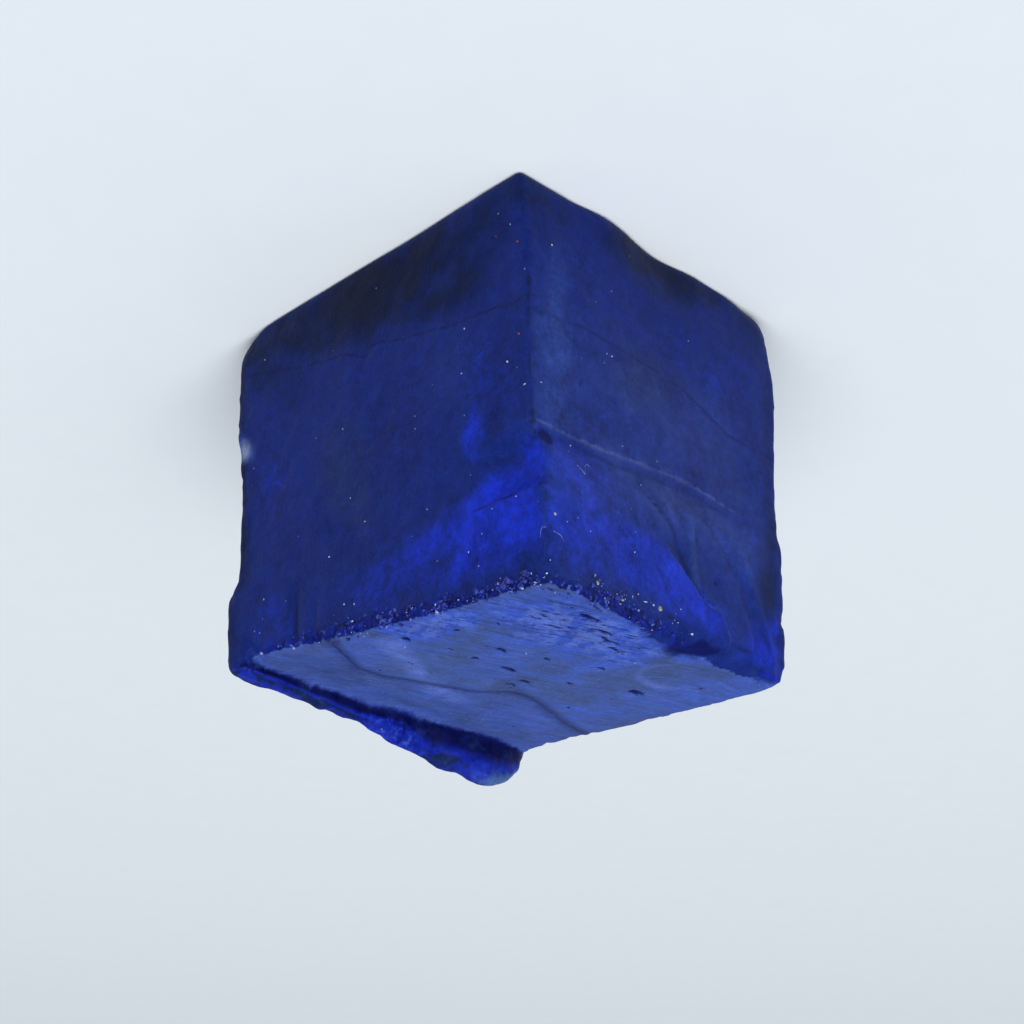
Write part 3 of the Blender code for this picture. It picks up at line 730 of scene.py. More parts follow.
def fields_of(p, near):
    """What the stone's finish reads at each point: shares of its tints, and distances from its lines."""
    x, y, z = p.T
    hidden = near["right"] + near["back"] + near["base"]
    clouds, far_ledge_highlights = far_tints(p, near)
    bitten = beside(x, BITE_EDGE)(y)
    over_shelf = beside(z, (SHELF_Y, SHELF_Z))(y)
    front_hair = beside(z, FRONT_HAIR)(x)
    lobe = beside(y, LOBE_EDGE)(z)
    beside_bite = fall(bitten, -0.4, 0.1) * rise(over_top(p), -0.5, -0.1) * rise(y, 0.0, 1.0)

    past = rise(lobe, -0.05, 0.30) * fall(lobe, 1.0, 2.2) * rise(z, 12.4, 13.2) * fall(z, 13.8, 15.0)
    past *= near["left"]
    ultramarine = np.maximum(patches(p, near, ULTRAMARINE), 0.75 * hidden * rise(clouds, 0.1, 0.8))
    ultramarine = np.maximum(ultramarine * (1.0 - 0.75 * past), 0.75 * beside_bite)
    # The term that falls with height darkens the sides towards the base: painted shade where the stone meets
    # the floor
    navy = patches(p, near, NAVY) + 0.35 * past + 0.45 * fall(z, 0.0, 5.0) * (1.0 - near["top"])
    navy = np.maximum(navy, 0.8 * near["front"] * fall(front_hair, -1.3, 0.6) * rise(x, -7.6, -5.5))
    # Painted shade: the front and the left face darken towards their outer edges, where the stone turns away
    outer = np.maximum(near["front"] * rise(x, 6.4, 8.3), near["left"] * rise(y, 6.5, 8.2))
    navy = np.maximum(navy, 1.4 * outer * near["outer"])
    # Painted light: the left face is made lighter and greyer over its middle, in place of light falling on it
    # from the left
    painted_light_left = near["left"] * rise(z, 3.0, 7.5) * fall(y, 4.0, 7.5) * (1.0 - 0.45 * rise(z, 11.8, 14.0))
    veil_and_painted_light = patches(p, near, VEIL) + 0.16 * hidden * rise(-clouds, -0.1, 0.5) + 0.24 * painted_light_left

    from_edge = np.hypot(x + 8.7, y + 7.0)
    near_edge = fall(from_edge, 0.6, 1.6) * rise(z, 10.8, 11.6)
    # Darkening along the edges between faces: less beside the bite, near the top and high on the near upright
    # edge, more lower down on that edge
    edge_darkening = (1.0 - beside_bite) * (1.0 - 0.8 * near_edge) * (1.0 - 0.7 * rise(over_top(p), -0.9, -0.4))
    edge_darkening += 0.12 * fall(from_edge, 0.5, 1.4) * rise(z, 3.0, 5.0) * fall(z, 10.6, 11.4)
    on_top = near["top"] * rise(near["inset"], 0.0, 0.25) * (near["lip"] < -0.05)
    distances = {
        "inset": near["inset"],
        "border": np.minimum(-near["lip"], 0.6 * bitten),
        "strip": beside(x, STRIP_BORDER)(y),
        "front_hair": front_hair,
        "left_hair": beside(z, LEFT_HAIR)(y),
        "shelf": over_shelf,
        "lobe": lobe,
    }
    shares = {
        "on_front": near["front"],
        "on_left": near["left"],
        "on_shelf": near["left"] * fall(y, 2.5, 5.5) * rise(y, -8.3, -6.5),
        "on_lobe": near["left"] * rise(z, 13.2, 14.2) * fall(z, 15.8, 16.6),
        "ultramarine": ultramarine,
        "navy": navy,
        "grey": np.maximum(patches(p, near, GREY), 0.7 * hidden * rise(-clouds, 0.2, 0.8)),
        "veil_and_painted_light": veil_and_painted_light,
        # A painted highlight: the blurred glow low on the front near its outer end
        "blurred_highlight": near["front"] * fall(np.hypot((x - 8.25) / 0.9, (z - 5.5) / 0.8), 0.1, 1.0),
        "pale": pale_places(p, near, far_ledge_highlights),
        # Painted shade in the crevice, the notch, at steps and in grooves
        "dark": np.clip(painted_shade_places(p, near, bitten, over_shelf), 0.0, 1.0),
        "pit": np.where(on_top > 0.0, pits_at(p)[1], -1.0),
        "torn": on_top * saw_marks(p)[1],
        "band": rim_band(p, plane_depths(p)),
        "edge_darkening": near["edge"] * edge_darkening,
    }
    clipped = {name: np.clip(distance, -1.0, 1.0) for name, distance in distances.items()}
    return {**clipped, **shares, **lip_fields(p, near)}


EVEN, UNTURNED = (1.0, 1.0, 1.0), (0.0, 0.0, 0.0)


class Sum:
    """A socket that adds its own Math node for each operator used on it."""

    def __init__(self, finish, socket):
        self.finish, self.socket = finish, socket

    def math(self, operation, first, second=None, clamp=False):
        settings = {"operation": operation, "use_clamp": clamp}
        return self.finish.node("ShaderNodeMath", settings, {0: first, 1: second})

    def __add__(self, other):
        return self.math("ADD", self, other)

    def __sub__(self, other):
        return self.math("SUBTRACT", self, other)

    def __rsub__(self, other):
        return self.math("SUBTRACT", other, self)

    def __mul__(self, other):
        return self.math("MULTIPLY", self, other)

    def __abs__(self):
        return self.math("ABSOLUTE", self)

    __radd__, __rmul__ = __add__, __mul__

    def clamped(self):
        return self.math("ADD", self, 0.0, clamp=True)

    def most(self, other):
        return self.math("MAXIMUM", self, other)

    def rising(self, start, end):
        """0 before start, 1 after end, and an S-curve between."""
        settings = {"interpolation_type": "SMOOTHSTEP"}
        return self.finish.node("ShaderNodeMapRange", settings, {0: self, 1: start, 2: end, 3: 0.0, 4: 1.0})

    def falling(self, start, end):
        return 1.0 - self.rising(start, end)


class Finish:
    """One material's nodes."""

    def __init__(self, name):
        self.material = bpy.data.materials.new(name)
        self.material.use_nodes = True
        self.tree = self.material.node_tree
        self.shader = self.tree.nodes["Principled BSDF"]
        self.place = self.node("ShaderNodeTexCoord", out="Object")

    def node(self, kind, settings=None, sockets=None, out=0):
        """A node with its settings first and then its sockets, given as numbers, colours or other sockets."""
        made = self.tree.nodes.new(kind)
        for setting, value in (settings or {}).items():
            setattr(made, setting, value)
        for name, value in (sockets or {}).items():
            self.fill(made.inputs[name], value)
        return Sum(self, made.outputs[out])

    def fill(self, socket, value):
        if isinstance(value, Sum):
            self.tree.links.new(value.socket, socket)
        elif value is not None:
            socket.default_value = value

    def field(self, name):
        settings = {"attribute_type": "GEOMETRY", "attribute_name": name}
        return self.node("ShaderNodeAttribute", settings, out="Fac")

    def scaled(self, stretch=EVEN, turn=UNTURNED):
        """The place in mm, along axes that are turned and then stretched."""
        scale = tuple(MM * part for part in stretch)
        return self.node("ShaderNodeMapping", {"vector_type": "TEXTURE"}, {0: self.place, 2: turn, 3: scale})

    def noise(self, size, detail=3.0, stretch=EVEN, turn=UNTURNED, roughness=0.55, warp=0.0):
        """Noise from about 0 to 1 whose largest blobs are size mm across."""
        sockets = {
            "Vector": self.scaled(stretch, turn),
            "Scale": 1.0 / size,
            "Detail": detail,
            "Roughness": roughness,
            "Distortion": warp,
        }
        return self.node("ShaderNodeTexNoise", None, sockets)

    def specks(self, size):
        """Distance from the middle of scattered cells, in cells, and a random share for each cell."""
        sockets = {"Vector": self.scaled(), "Scale": 1.0 / size, "Randomness": 1.0}
        cells = self.node("ShaderNodeTexVoronoi", {"feature": "F1"}, sockets)
        kept = self.node("ShaderNodeSeparateColor", None, {0: Sum(self, cells.socket.node.outputs["Color"])})
        return cells, kept

    def blend(self, share, under, over):
        """One colour laid over another by a share."""
        return self.node("ShaderNodeMix", {"data_type": "RGBA"}, {0: share, 6: under, 7: over}, out=2)

    def layers(self, under, *over):
        """A colour with tints laid over it in turn, each by its own share."""
        for share, tint in over:
            under = self.blend(share, under, tint)
        return under

    def swings(self, *shape, **more):
        """Noise spread from -1 to 1."""
        return self.noise(*shape, **more) * 2.0 - 1.0

    def shaded(self, tint, strength):
        """A colour made lighter or darker by a number."""
        return self.node("ShaderNodeVectorMath", {"operation": "SCALE"}, {0: tint, "Scale": strength})

    def relief(self, height, depth_mm):
        sockets = {"Strength": 1.0, "Distance": depth_mm * MM, "Height": height}
        return self.node("ShaderNodeBump", None, sockets)


def colour(red, green, blue):
    return (red, green, blue, 1.0)


DEEP_NAVY = colour(0.0036, 0.0100, 0.058)
SLATE = colour(0.0060, 0.0098, 0.028)
TEAL_NAVY = colour(0.0050, 0.0140, 0.050)
STONE_BLUE = colour(0.0078, 0.0220, 0.178)
# Grey-blue of the veiled places, partly painted light on the left face
VEIL_AND_LIGHT_BLUE = colour(0.040, 0.070, 0.285)
LIP_BLUE = colour(0.0100, 0.0260, 0.380)
TIP_BLUE = colour(0.078, 0.165, 0.35)
GREY_BLUE = colour(0.0110, 0.0260, 0.130)
BRIGHT_ULTRAMARINE = colour(0.0090, 0.0300, 0.54)
PALE_BLUE = colour(0.046, 0.096, 0.38)
# Painted highlight along the ledge's upward tread
LEDGE_HIGHLIGHT_GREY = colour(0.070, 0.096, 0.25)
# Tints of the sawn top: pale partly from its own sawn surface and partly from a painted sheen
SAWN_GREY = colour(0.057, 0.098, 0.28)
SAWN_BLUE = colour(0.048, 0.104, 0.49)
SAWN_VIOLET = colour(0.052, 0.092, 0.36)
SAWN_TORN = colour(0.038, 0.098, 0.60)
# Lightest sawn tone, also used for painted highlights on the lobe's edge and the rim's glints
PALE_SAWN_AND_HIGHLIGHT = colour(0.105, 0.180, 0.60)
TORN_BLUE = colour(0.0040, 0.0090, 0.145)
BROKEN_BLUE = colour(0.0060, 0.0150, 0.230)
# Darkest navy: real cracks, seams and dashes, and painted shade in crevices, pits and at the lip's foot
CRACK_AND_SHADE_NAVY = colour(0.0032, 0.0062, 0.075)
NIGHT_BLUE = colour(0.0022, 0.0042, 0.040)
# Pale dust for the dots, also used for the painted glow on the front
DUST_AND_GLOW = colour(0.55, 0.62, 0.75)
ALONG_SAW = (0.0, 0.0, np.radians(23.8))
ALONG_GROWTH = (np.radians(-28.7), np.radians(45.0), 0.0)


def side_tint(stone, clouds, mottle, growth, dapple, grain, fine, **others):
    """Navy to ultramarine, with grey, veiled and pale places and the pale edges of the ledge and the lobe.
    Those pale edges and the glow on the front are painted highlights, the veiled middle of the left face is
    partly painted light, and the navy low on the sides and at their outer edges is painted shade.
    """
    field = stone.field
    navy = field("navy") + clouds * 0.9 + mottle * 0.8 + grain * 0.2
    grey = field("grey") * 1.1 + clouds * 0.8 + mottle * 0.8
    bright = field("ultramarine") + clouds * 0.45 + mottle * 0.45 + dapple * 0.25 + growth * 0.06
    bright = bright + grain * 0.15 - field("navy") * 0.5
    # The veiled middle of the left face is partly painted light
    veil_and_painted_light = field("veil_and_painted_light") * (clouds * 0.5 + mottle * 0.5 + 1.0)
    pale = field("pale") * (grain * 0.5 + mottle * 0.6 + 0.75)
    # Painted highlights: a thin pale line where the ledge's tread faces up, and one along the lobe's raised
    # edge
    ledge = abs(field("shelf") + mottle * 0.12 + grain * 0.05 + 0.02).falling(0.0, 0.10)
    ledge = ledge * field("on_shelf") * (grain * 0.5 + mottle * 0.6 + 0.50)
    lobe = abs(field("lobe") + mottle * 0.15 + grain * 0.05).falling(0.0, 0.12)
    lobe = lobe * field("on_lobe") * (mottle * 0.9 + 0.30)
    # A painted highlight: the blurred glow on the front
    blurred_highlight = field("blurred_highlight")
    tint = stone.layers(
        STONE_BLUE,
        (navy.rising(0.0, 1.1), DEEP_NAVY),
        (navy.rising(0.7, 1.5) * 0.8, SLATE),
        (grey.rising(0.1, 1.2), GREY_BLUE),
        (bright.rising(0.10, 1.25), BRIGHT_ULTRAMARINE),
        (veil_and_painted_light.clamped(), VEIL_AND_LIGHT_BLUE),
        (pale.clamped(), PALE_BLUE),
        (ledge.clamped(), LEDGE_HIGHLIGHT_GREY),
        (lobe.clamped(), PALE_SAWN_AND_HIGHLIGHT),
        (blurred_highlight * blurred_highlight * 0.5, DUST_AND_GLOW),
    )
    strength = clouds * 0.25 + mottle * 0.5 + dapple * 0.4 + growth * 0.05 + grain * 0.35 + fine * 0.3
    return stone.shaded(tint, strength + 1.0)


def lip_tint(stone, mottle, dapple, grain, **others):
    """Ultramarine lumps between dark hollows, with painted shade at the foot, a teal crest and a paler far
    end.
    """
    field = stone.field
    lump = field("lump")
    tint = stone.layers(
        LIP_BLUE,
        # Painted shade at the lip's foot, where its inner wall rises from the top
        ((field("foot") + mottle * 0.5 + grain * 0.2).rising(0.0, 0.9), CRACK_AND_SHADE_NAVY),
        ((field("crest") + mottle * 0.9 + dapple * 0.9).rising(0.4, 1.0) * 0.9, TEAL_NAVY),
        ((lump + mottle * 0.8 + grain * 0.4).rising(0.15, 1.1) * 0.60, BRIGHT_ULTRAMARINE),
        ((lump * 0.6 + dapple * 1.1 + grain * 0.5).rising(0.65, 1.05) * 0.6, PALE_BLUE),
        ((mottle * -0.7 + dapple * -1.2 + lump * 0.2).rising(0.25, 0.75) * 0.7, CRACK_AND_SHADE_NAVY),
        ((field("tip") + mottle * 0.5).rising(0.0, 0.8) * 0.85, TIP_BLUE),
    )
    return stone.shaded(tint, mottle * 0.5 + dapple * 0.6 + grain * 0.5 + 1.0)


def broken_tint(stone, mottle, grain, **others):
    """Small dark facets, some of them bright and a few nearly white; the bright ones are painted glints."""
    facets = stone.specks(0.14)[1] + grain * 0.3
    return stone.layers(
        NIGHT_BLUE,
        ((facets + mottle * 0.5).rising(-0.1, 0.7), BROKEN_BLUE),
        # Painted glints: the bright and the nearly white facets
        ((facets + mottle * 0.3).rising(0.70, 1.0) * 0.6, BRIGHT_ULTRAMARINE),
        ((facets + mottle * 0.2).rising(0.90, 1.0) * 0.8, PALE_SAWN_AND_HIGHLIGHT),
    )


def sawn_and_sheen_tint(stone, clouds, mottle, growth, grain, fine, marks, **others):
    """Pale blue with saw marks and torn flakes, dark dashes, and a violet strip behind a dark seam. Its
    paleness is partly the sawn face's own and partly a painted sheen.
    """
    field = stone.field
    streaks = stone.swings(0.5, 3.0, (1.0, 8.0, 1.0), ALONG_SAW)
    torn = stone.swings(0.22, 4.0, (1.0, 4.2, 1.0), ALONG_SAW, 0.66, 0.5)
    strip = field("strip") + mottle * 0.26
    rough = field("torn")
    dark_marks = (marks * -1.0 + streaks * -0.5 + rough * 0.16).rising(0.16, 0.50)
    flakes = (growth + mottle * 0.6 + rough * 0.45).rising(0.25, 0.60) * rough
    tint = stone.layers(
        SAWN_GREY,
        ((streaks * 0.7 + clouds * 1.3 + mottle * 0.5 + 0.45).clamped(), SAWN_BLUE),
        (strip.rising(-0.08, 0.12) * 0.45, SAWN_VIOLET),
        ((field("grey") + mottle * 0.5).clamped() * 0.8, SAWN_GREY),
        ((rough + mottle * 0.6 + streaks * 0.5).rising(0.0, 1.0) * 0.8, SAWN_TORN),
        (marks.rising(0.05, 0.45) * 0.35, PALE_SAWN_AND_HIGHLIGHT),
        (dark_marks * (rough * 0.50 + 0.22), TORN_BLUE),
        ((field("pale") * (mottle * 0.8 + 0.75)).clamped(), PALE_SAWN_AND_HIGHLIGHT),
        (flakes * 0.8, PALE_SAWN_AND_HIGHLIGHT),
        # The navy share on the top is painted shade towards the lip
        ((field("navy") * 0.35).clamped(), SLATE),
    )
    tint = stone.shaded(tint, clouds * 0.20 + mottle * 0.34 + grain * 0.34 + fine * 0.25 + 1.0)
    seam = abs(strip + grain * 0.10).falling(0.0, 0.34) * (mottle * 1.4 + 0.75).clamped()
    seam = seam.most(abs(strip + grain * 0.15).falling(0.0, 0.80) * 0.55)
    dashes = (torn + rough * 0.40 + mottle * 0.45 + growth * 0.15).rising(0.50, 0.68)
    return stone.layers(
        tint,
        (strip.rising(-0.75, 0.0) * strip.falling(0.0, 0.06) * 0.35, SLATE),
        ((seam * 0.8).most(dashes) * 0.9, CRACK_AND_SHADE_NAVY),
    )


def with_cracks(stone, under, clouds, mottle, grain, **others):
    """A colour with hair cracks, crevices, pits, nicks and dots over it; the darkness of the crevices and the
    pits is painted shade.
    """
    field = stone.field
    hair = abs(field("front_hair") + mottle * 0.22 + grain * 0.07).falling(0.01, 0.12)
    hair = hair * field("on_front") * (clouds * 0.6 + 0.75).clamped()
    left_hair = abs(field("left_hair") + mottle * 0.16 + grain * 0.06).falling(0.02, 0.14)
    left_hair = left_hair * field("on_left") * 0.6
    hair = hair.most(left_hair) * (clouds + mottle).rising(-0.5, 0.0)
    # Painted shade in the crevice, the notch, at steps and in grooves
    dark = (field("dark") + mottle * 0.35 + grain * 0.25).rising(0.15, 0.75)
    # Painted shade in the pits of the sawn top
    pits = (field("pit") + mottle * 0.14 + grain * 0.10).rising(-0.10, 0.26)
    cells, kept = stone.specks(1.3)
    nicks = (cells + mottle * 0.06).falling(0.03, 0.07) * kept.rising(0.70, 0.72)
    cells, kept = stone.specks(0.55)
    dots = cells.falling(0.03, 0.09) * kept.rising(0.80, 0.86)
    return stone.layers(
        under,
        (hair * 0.75, CRACK_AND_SHADE_NAVY),
        (dark * 0.88, CRACK_AND_SHADE_NAVY),
        (pits * 0.95, CRACK_AND_SHADE_NAVY),
        (nicks * 0.8, NIGHT_BLUE),
        (dots * 0.35, DUST_AND_GLOW),
    )


def stone_finish():
    """Cloudy blue sides, a pale sawn top with saw marks, and dark cracks and pits. The top's paleness is
    partly a painted sheen, the crevices and pits hold painted shade, and painted highlights and shade lie
    along steps, grooves and edges.
    """
    stone = Finish("violet_blue_stone")
    field, shader = stone.field, stone.shader
    waves = {
        "clouds": stone.swings(3.4, 4.0, warp=0.6),
        "mottle": stone.swings(1.0, 5.0, roughness=0.62, warp=0.4),
        "growth": stone.swings(0.8, 3.0, (1.0, 1.0, 2.8), ALONG_GROWTH, 0.65),
        "dapple": stone.swings(0.45, 4.0, roughness=0.62, warp=0.5),
        "grain": stone.swings(0.20, 4.0, roughness=0.65),
        "fine": stone.swings(0.07, 1.0),
        "marks": stone.swings(0.13, 3.0, (1.0, 16.0, 1.0), ALONG_SAW),
    }
    mottle, dapple, grain = waves["mottle"], waves["dapple"], waves["grain"]

    band = field("band") + mottle * 0.50 + dapple * 0.25 + grain * 0.25
    edge_darkening = (field("edge_darkening") * 0.9 + mottle + dapple * 0.7).rising(0.60, 1.25)
    side = stone.layers(
        side_tint(stone, **waves),
        (field("lip"), lip_tint(stone, **waves)),
        (band.rising(-0.04, 0.20) * 0.82, broken_tint(stone, **waves)),
        (edge_darkening * 0.75, SLATE),
    )
    inset = field("inset") + mottle * 0.28 + grain * 0.16
    border = field("border") + mottle * 0.30 + dapple * 0.16 + grain * 0.10
    on_top = inset.rising(0.03, 0.16) * border.rising(-0.16, 0.26)
    shown = stone.blend(on_top, side, sawn_and_sheen_tint(stone, **waves))
    stone.fill(shader.inputs["Base Color"], with_cracks(stone, shown, **waves))

    rim = band.rising(0.0, 0.16) * (1.0 - on_top)
    stone.fill(shader.inputs["Roughness"], mottle * 0.12 + grain * 0.08 + 0.46 + on_top * 0.08 - rim * 0.14)
    shader.inputs["Specular IOR Level"].default_value = 0.05
    stone.fill(shader.inputs["Coat Weight"], on_top * 0.06)
    shader.inputs["Coat Roughness"].default_value = 0.28
    flat = field("inset").rising(0.03, 0.16) * field("border").rising(-0.12, 0.18)
    broken_rim = field("band").rising(0.0, 0.16) * (1.0 - flat)
    height = grain * (broken_rim * 1.3 + 0.4) + waves["fine"] * 0.2 + flat * waves["marks"] * 0.7
    stone.fill(shader.inputs["Normal"], stone.relief(height, 0.035))
    return stone.material


# Small grains that lie on the stone: place, and half size in mm. The white ones are partly white specks and
# partly painted glints along the top edges.
WHITE_GRAINS_AND_GLINTS = np.array([
    (-7.55, -6.81, 12.86, 0.06), (-5.68, -6.75, 15.17, 0.06), (-7.07, -6.62, 16.18, 0.06),
    (-7.03, -6.62, 16.31, 0.06), (-6.28, -6.65, 16.24, 0.06), (-8.17, -6.57, 16.22, 0.05),
    (-8.22, -6.54, 16.64, 0.06), (-7.82, -6.58, 16.32, 0.06), (-8.83, -6.53, 16.43, 0.06),
    (-8.78, -6.53, 16.53, 0.05), (-8.77, -6.37, 15.94, 0.04), (-8.70, -5.10, 13.83, 0.04),
    (-8.73, -5.67, 14.19, 0.04), (-8.68, -4.43, 14.12, 0.04), (-8.60, -1.92, 14.08, 0.06),
    (-8.68, -3.79, 16.51, 0.06), (-8.68, -3.58, 16.57, 0.06), (-8.65, -2.84, 16.45, 0.06),
    (-8.62, -2.12, 15.92, 0.05), (-8.60, -1.47, 15.95, 0.12), (-8.58, -1.03, 15.94, 0.08),
    (-8.52, 0.55, 15.62, 0.08), (-8.50, 1.37, 16.42, 0.12), (-7.94, 6.12, 16.84, 0.05),
    (-1.83, -6.88, 15.78, 0.08), (-2.75, -6.83, 15.94, 0.06), (-3.01, -6.81, 16.10, 0.06),
    (-3.34, -6.80, 15.92, 0.06), (-4.55, -6.74, 16.09, 0.08), (1.72, -7.11, 14.42, 0.08),
    (1.14, -7.08, 14.57, 0.05), (2.03, -7.06, 15.58, 0.04), (3.40, -7.12, 15.47, 0.05),
    (6.65, -7.44, 12.69, 0.06), (5.25, -7.34, 13.20, 0.04), (6.89, -7.36, 14.08, 0.06),
    (7.14, -7.32, 14.91, 0.12), (0.70, -5.01, 15.74, 0.06), (-2.79, -1.86, 16.16, 0.06),
    (-5.38, 1.41, 16.49, 0.05), (-8.67, -5.01, 10.70, 0.05), (-8.63, -3.38, 11.63, 0.04),
    (-8.57, -2.37, 9.82, 0.04), (-8.55, -1.31, 11.05, 0.05), (-7.78, -6.78, 13.18, 0.05),
    (-7.72, -7.11, 7.74, 0.08), (-8.42, -7.01, 8.97, 0.08), (-8.72, -6.69, 8.80, 0.06),
    (-8.57, -3.16, 6.11, 0.08), (-8.56, -2.88, 6.12, 0.06), (-8.37, 1.84, 3.37, 0.05),
    (-8.64, -6.14, 2.57, 0.05), (-8.14, -7.45, 1.96, 0.06), (-5.31, -7.25, 7.26, 0.06),
    (-5.51, -7.35, 5.40, 0.05), (6.74, -8.12, 1.65, 0.06), (1.68, -7.57, 6.88, 0.06),
    (7.48, -7.85, 6.51, 0.05), (1.30, -7.36, 10.06, 0.06), (0.49, -7.25, 11.32, 0.05),
    (2.59, -7.29, 12.15, 0.06), (-2.21, -7.04, 12.85, 0.05), (-3.07, -7.05, 12.03, 0.05),
    (-5.20, -6.81, 14.47, 0.05),
])
GOLDEN_GRAINS = np.array([
    (-8.69, -4.28, 15.81, 0.08), (-8.69, -4.14, 16.04, 0.08), (-8.75, -6.23, 14.06, 0.08),
    (-8.64, -2.73, 16.26, 0.08), (-8.57, -0.67, 15.99, 0.11), (-8.61, -1.84, 15.75, 0.06),
    (4.92, -7.20, 15.28, 0.08), (-3.52, -6.89, 14.28, 0.04),
])
RUSTY_GRAINS = np.array([
    (-8.33, -7.14, 6.81, 0.10), (-7.38, -7.47, 2.14, 0.06), (-8.41, -7.38, 2.84, 0.06),
])
# Fine threads on the left face, by points along each, with their radius and height over the stone
HAIR_PATH = (
    (-8.78, -6.90, 15.08), (-8.77, -6.79, 14.77), (-8.77, -6.64, 14.64),
    (-8.75, -6.24, 14.78), (-8.74, -5.99, 14.85), (-8.74, -5.85, 15.03),
)
FIBRE_PATH = (
    (-8.68, -5.03, 11.66), (-8.67, -4.72, 11.79), (-8.67, -4.62, 11.92),
    (-8.66, -4.50, 11.46), (-8.66, -4.34, 11.32), (-8.65, -4.23, 11.40),
)
FIBRE_RADIUS, FIBRE_STANDS = 0.008, 0.012


def on_stone(points):
    """The nearest place on the finished surface to each point, and the way out of the stone there."""
    points = np.asarray(points, float)
    seated = seat(points, slope_of(depth, points))
    out = normals_at(seated)
    return seated + fine_relief(seated, nearness(seated))[:, None] * out, out


def ball():
    """Twelve points and twenty faces of an icosahedron."""
    golden = (1.0 + 5.0 ** 0.5) / 2.0
    flat = [(-1, golden, 0), (1, golden, 0), (-1, -golden, 0), (1, -golden, 0)]
    points = np.array(flat + [(c, a, b) for a, b, c in flat] + [(b, c, a) for a, b, c in flat], float)
    faces = np.array([
        (0, 11, 5), (0, 5, 1), (0, 1, 7), (0, 7, 10), (0, 10, 11), (1, 5, 9), (5, 11, 4), (11, 10, 2),
        (10, 7, 6), (7, 1, 8), (3, 9, 4), (3, 4, 2), (3, 2, 6), (3, 6, 8), (3, 8, 9), (4, 9, 5),
        (2, 4, 11), (6, 2, 10), (8, 6, 7), (9, 8, 1),
    ])
    return points / np.linalg.norm(points[0]), faces


def grains(name, places, sizes, seed, sunk=0.35):
    """Angular grains as one mesh: a ball for each, its points pushed in and out at random, sunk a little."""
    draw = np.random.RandomState(seed)
    points, faces = ball()
    seats, out = on_stone(places)
    count = len(seats)
    shape = points[None] * draw.uniform(0.6, 1.3, (count, len(points), 1))
    shape = shape * draw.uniform(0.45, 1.4, (count, 1, 3))
    middle = seats + out * (sizes * (1.0 - 2.0 * sunk))[:, None]
    placed = middle[:, None] + shape * sizes[:, None, None]
    all_faces = faces[None] + len(points) * np.arange(count)[:, None, None]
    obj = write_mesh(name, placed.reshape(-1, 3), all_faces.reshape(-1, 3), smooth=False)
    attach(obj, "root")
    return obj


def edge_crumbs(seed, clusters, each):
    """Places and sizes of loose crumbs: clusters along the sawn top's crumbly edges, most near the corner."""
    draw = np.random.RandomState(seed)
    half = clusters // 2
    x = -8.7 + 14.0 * draw.beta(0.9, 1.7, clusters)
    z = 15.92 - 0.105 * x - draw.uniform(0.0, 0.5, clusters)
    front = np.stack([x, np.full(clusters, -6.95), z], axis=1)
    y = -6.8 + 8.0 * draw.beta(1.1, 1.0, half)
    z = 16.75 - draw.uniform(0.0, 0.7, half)
    left = np.stack([np.full(half, -8.6), y, z], axis=1)
    middles = np.repeat(np.concatenate([front, left]), each, axis=0)
    places = middles + draw.normal(0.0, 0.13, middles.shape)
    return places, 0.014 + draw.gamma(1.3, 0.014, len(places))


def fibre(name, path, radius, stands):
    """A fine round thread carried along a smooth path just over the stone."""
    knots, out = on_stone(path)
    knots = knots + out * stands
    far = np.concatenate([[0.0], np.cumsum(np.linalg.norm(np.diff(knots, axis=0), axis=1))])
    steps = np.linspace(0.0, far[-1], 41)
    line = np.stack([np.interp(steps, far, knots[:, axis]) for axis in range(3)], axis=1)
    for _ in range(3):
        line[1:-1] = (line[:-2] + 2.0 * line[1:-1] + line[2:]) / 4.0
    along = np.gradient(line, axis=0)
    along /= np.linalg.norm(along, axis=1)[:, None]
    side = np.cross(along, (1.0, 0.0, 0.0))
    side /= np.linalg.norm(side, axis=1)[:, None]
    up = np.cross(along, side)
    angle = np.linspace(0.0, 2.0 * np.pi, 6, endpoint=False)
    ring = side[:, None] * np.cos(angle)[:, None] + up[:, None] * np.sin(angle)[:, None]
    thin = radius * np.sin(np.pi * np.linspace(0.06, 0.94, len(line))) ** 0.3
    points = (line[:, None] + ring * thin[:, None, None]).reshape(-1, 3)
    a, b = np.meshgrid(np.arange(len(line) - 1), np.arange(6), indexing="ij")
    c = (b + 1) % 6
    faces = np.stack([a * 6 + b, a * 6 + c, (a + 1) * 6 + c, (a + 1) * 6 + b], axis=-1).reshape(-1, 4)
    halves = np.concatenate([faces[:, [0, 1, 2]], faces[:, [0, 2, 3]]])
    ends = [(0, n + 1, n) for n in range(1, 5)] + [(240, 240 + n, 241 + n) for n in range(1, 5)]
    obj = write_mesh(name, points, np.concatenate([halves, np.array(ends)]))
    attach(obj, "root")
    return obj


def plain_finish(name, low, high, roughness, coat):
    """A small piece's own finish: two tints mixed by fine noise."""
    finish = Finish(name)
    tint = finish.noise(0.12, 2.0)
    finish.fill(finish.shader.inputs["Base Color"], finish.blend(tint.rising(0.35, 0.65), low, high))
    finish.fill(finish.shader.inputs["Roughness"], tint * 0.2 + roughness)
    finish.shader.inputs["Coat Weight"].default_value = coat
    return finish.material


def dress(obj, material):
    obj.data.materials.clear()
    obj.data.materials.append(material)


points, faces, fields = stone_surface()
stone = write_mesh("stone_surface", points, faces, fields=fields)
dress(stone, stone_finish())
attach(stone, "root")
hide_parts("tanzanite_crystal")

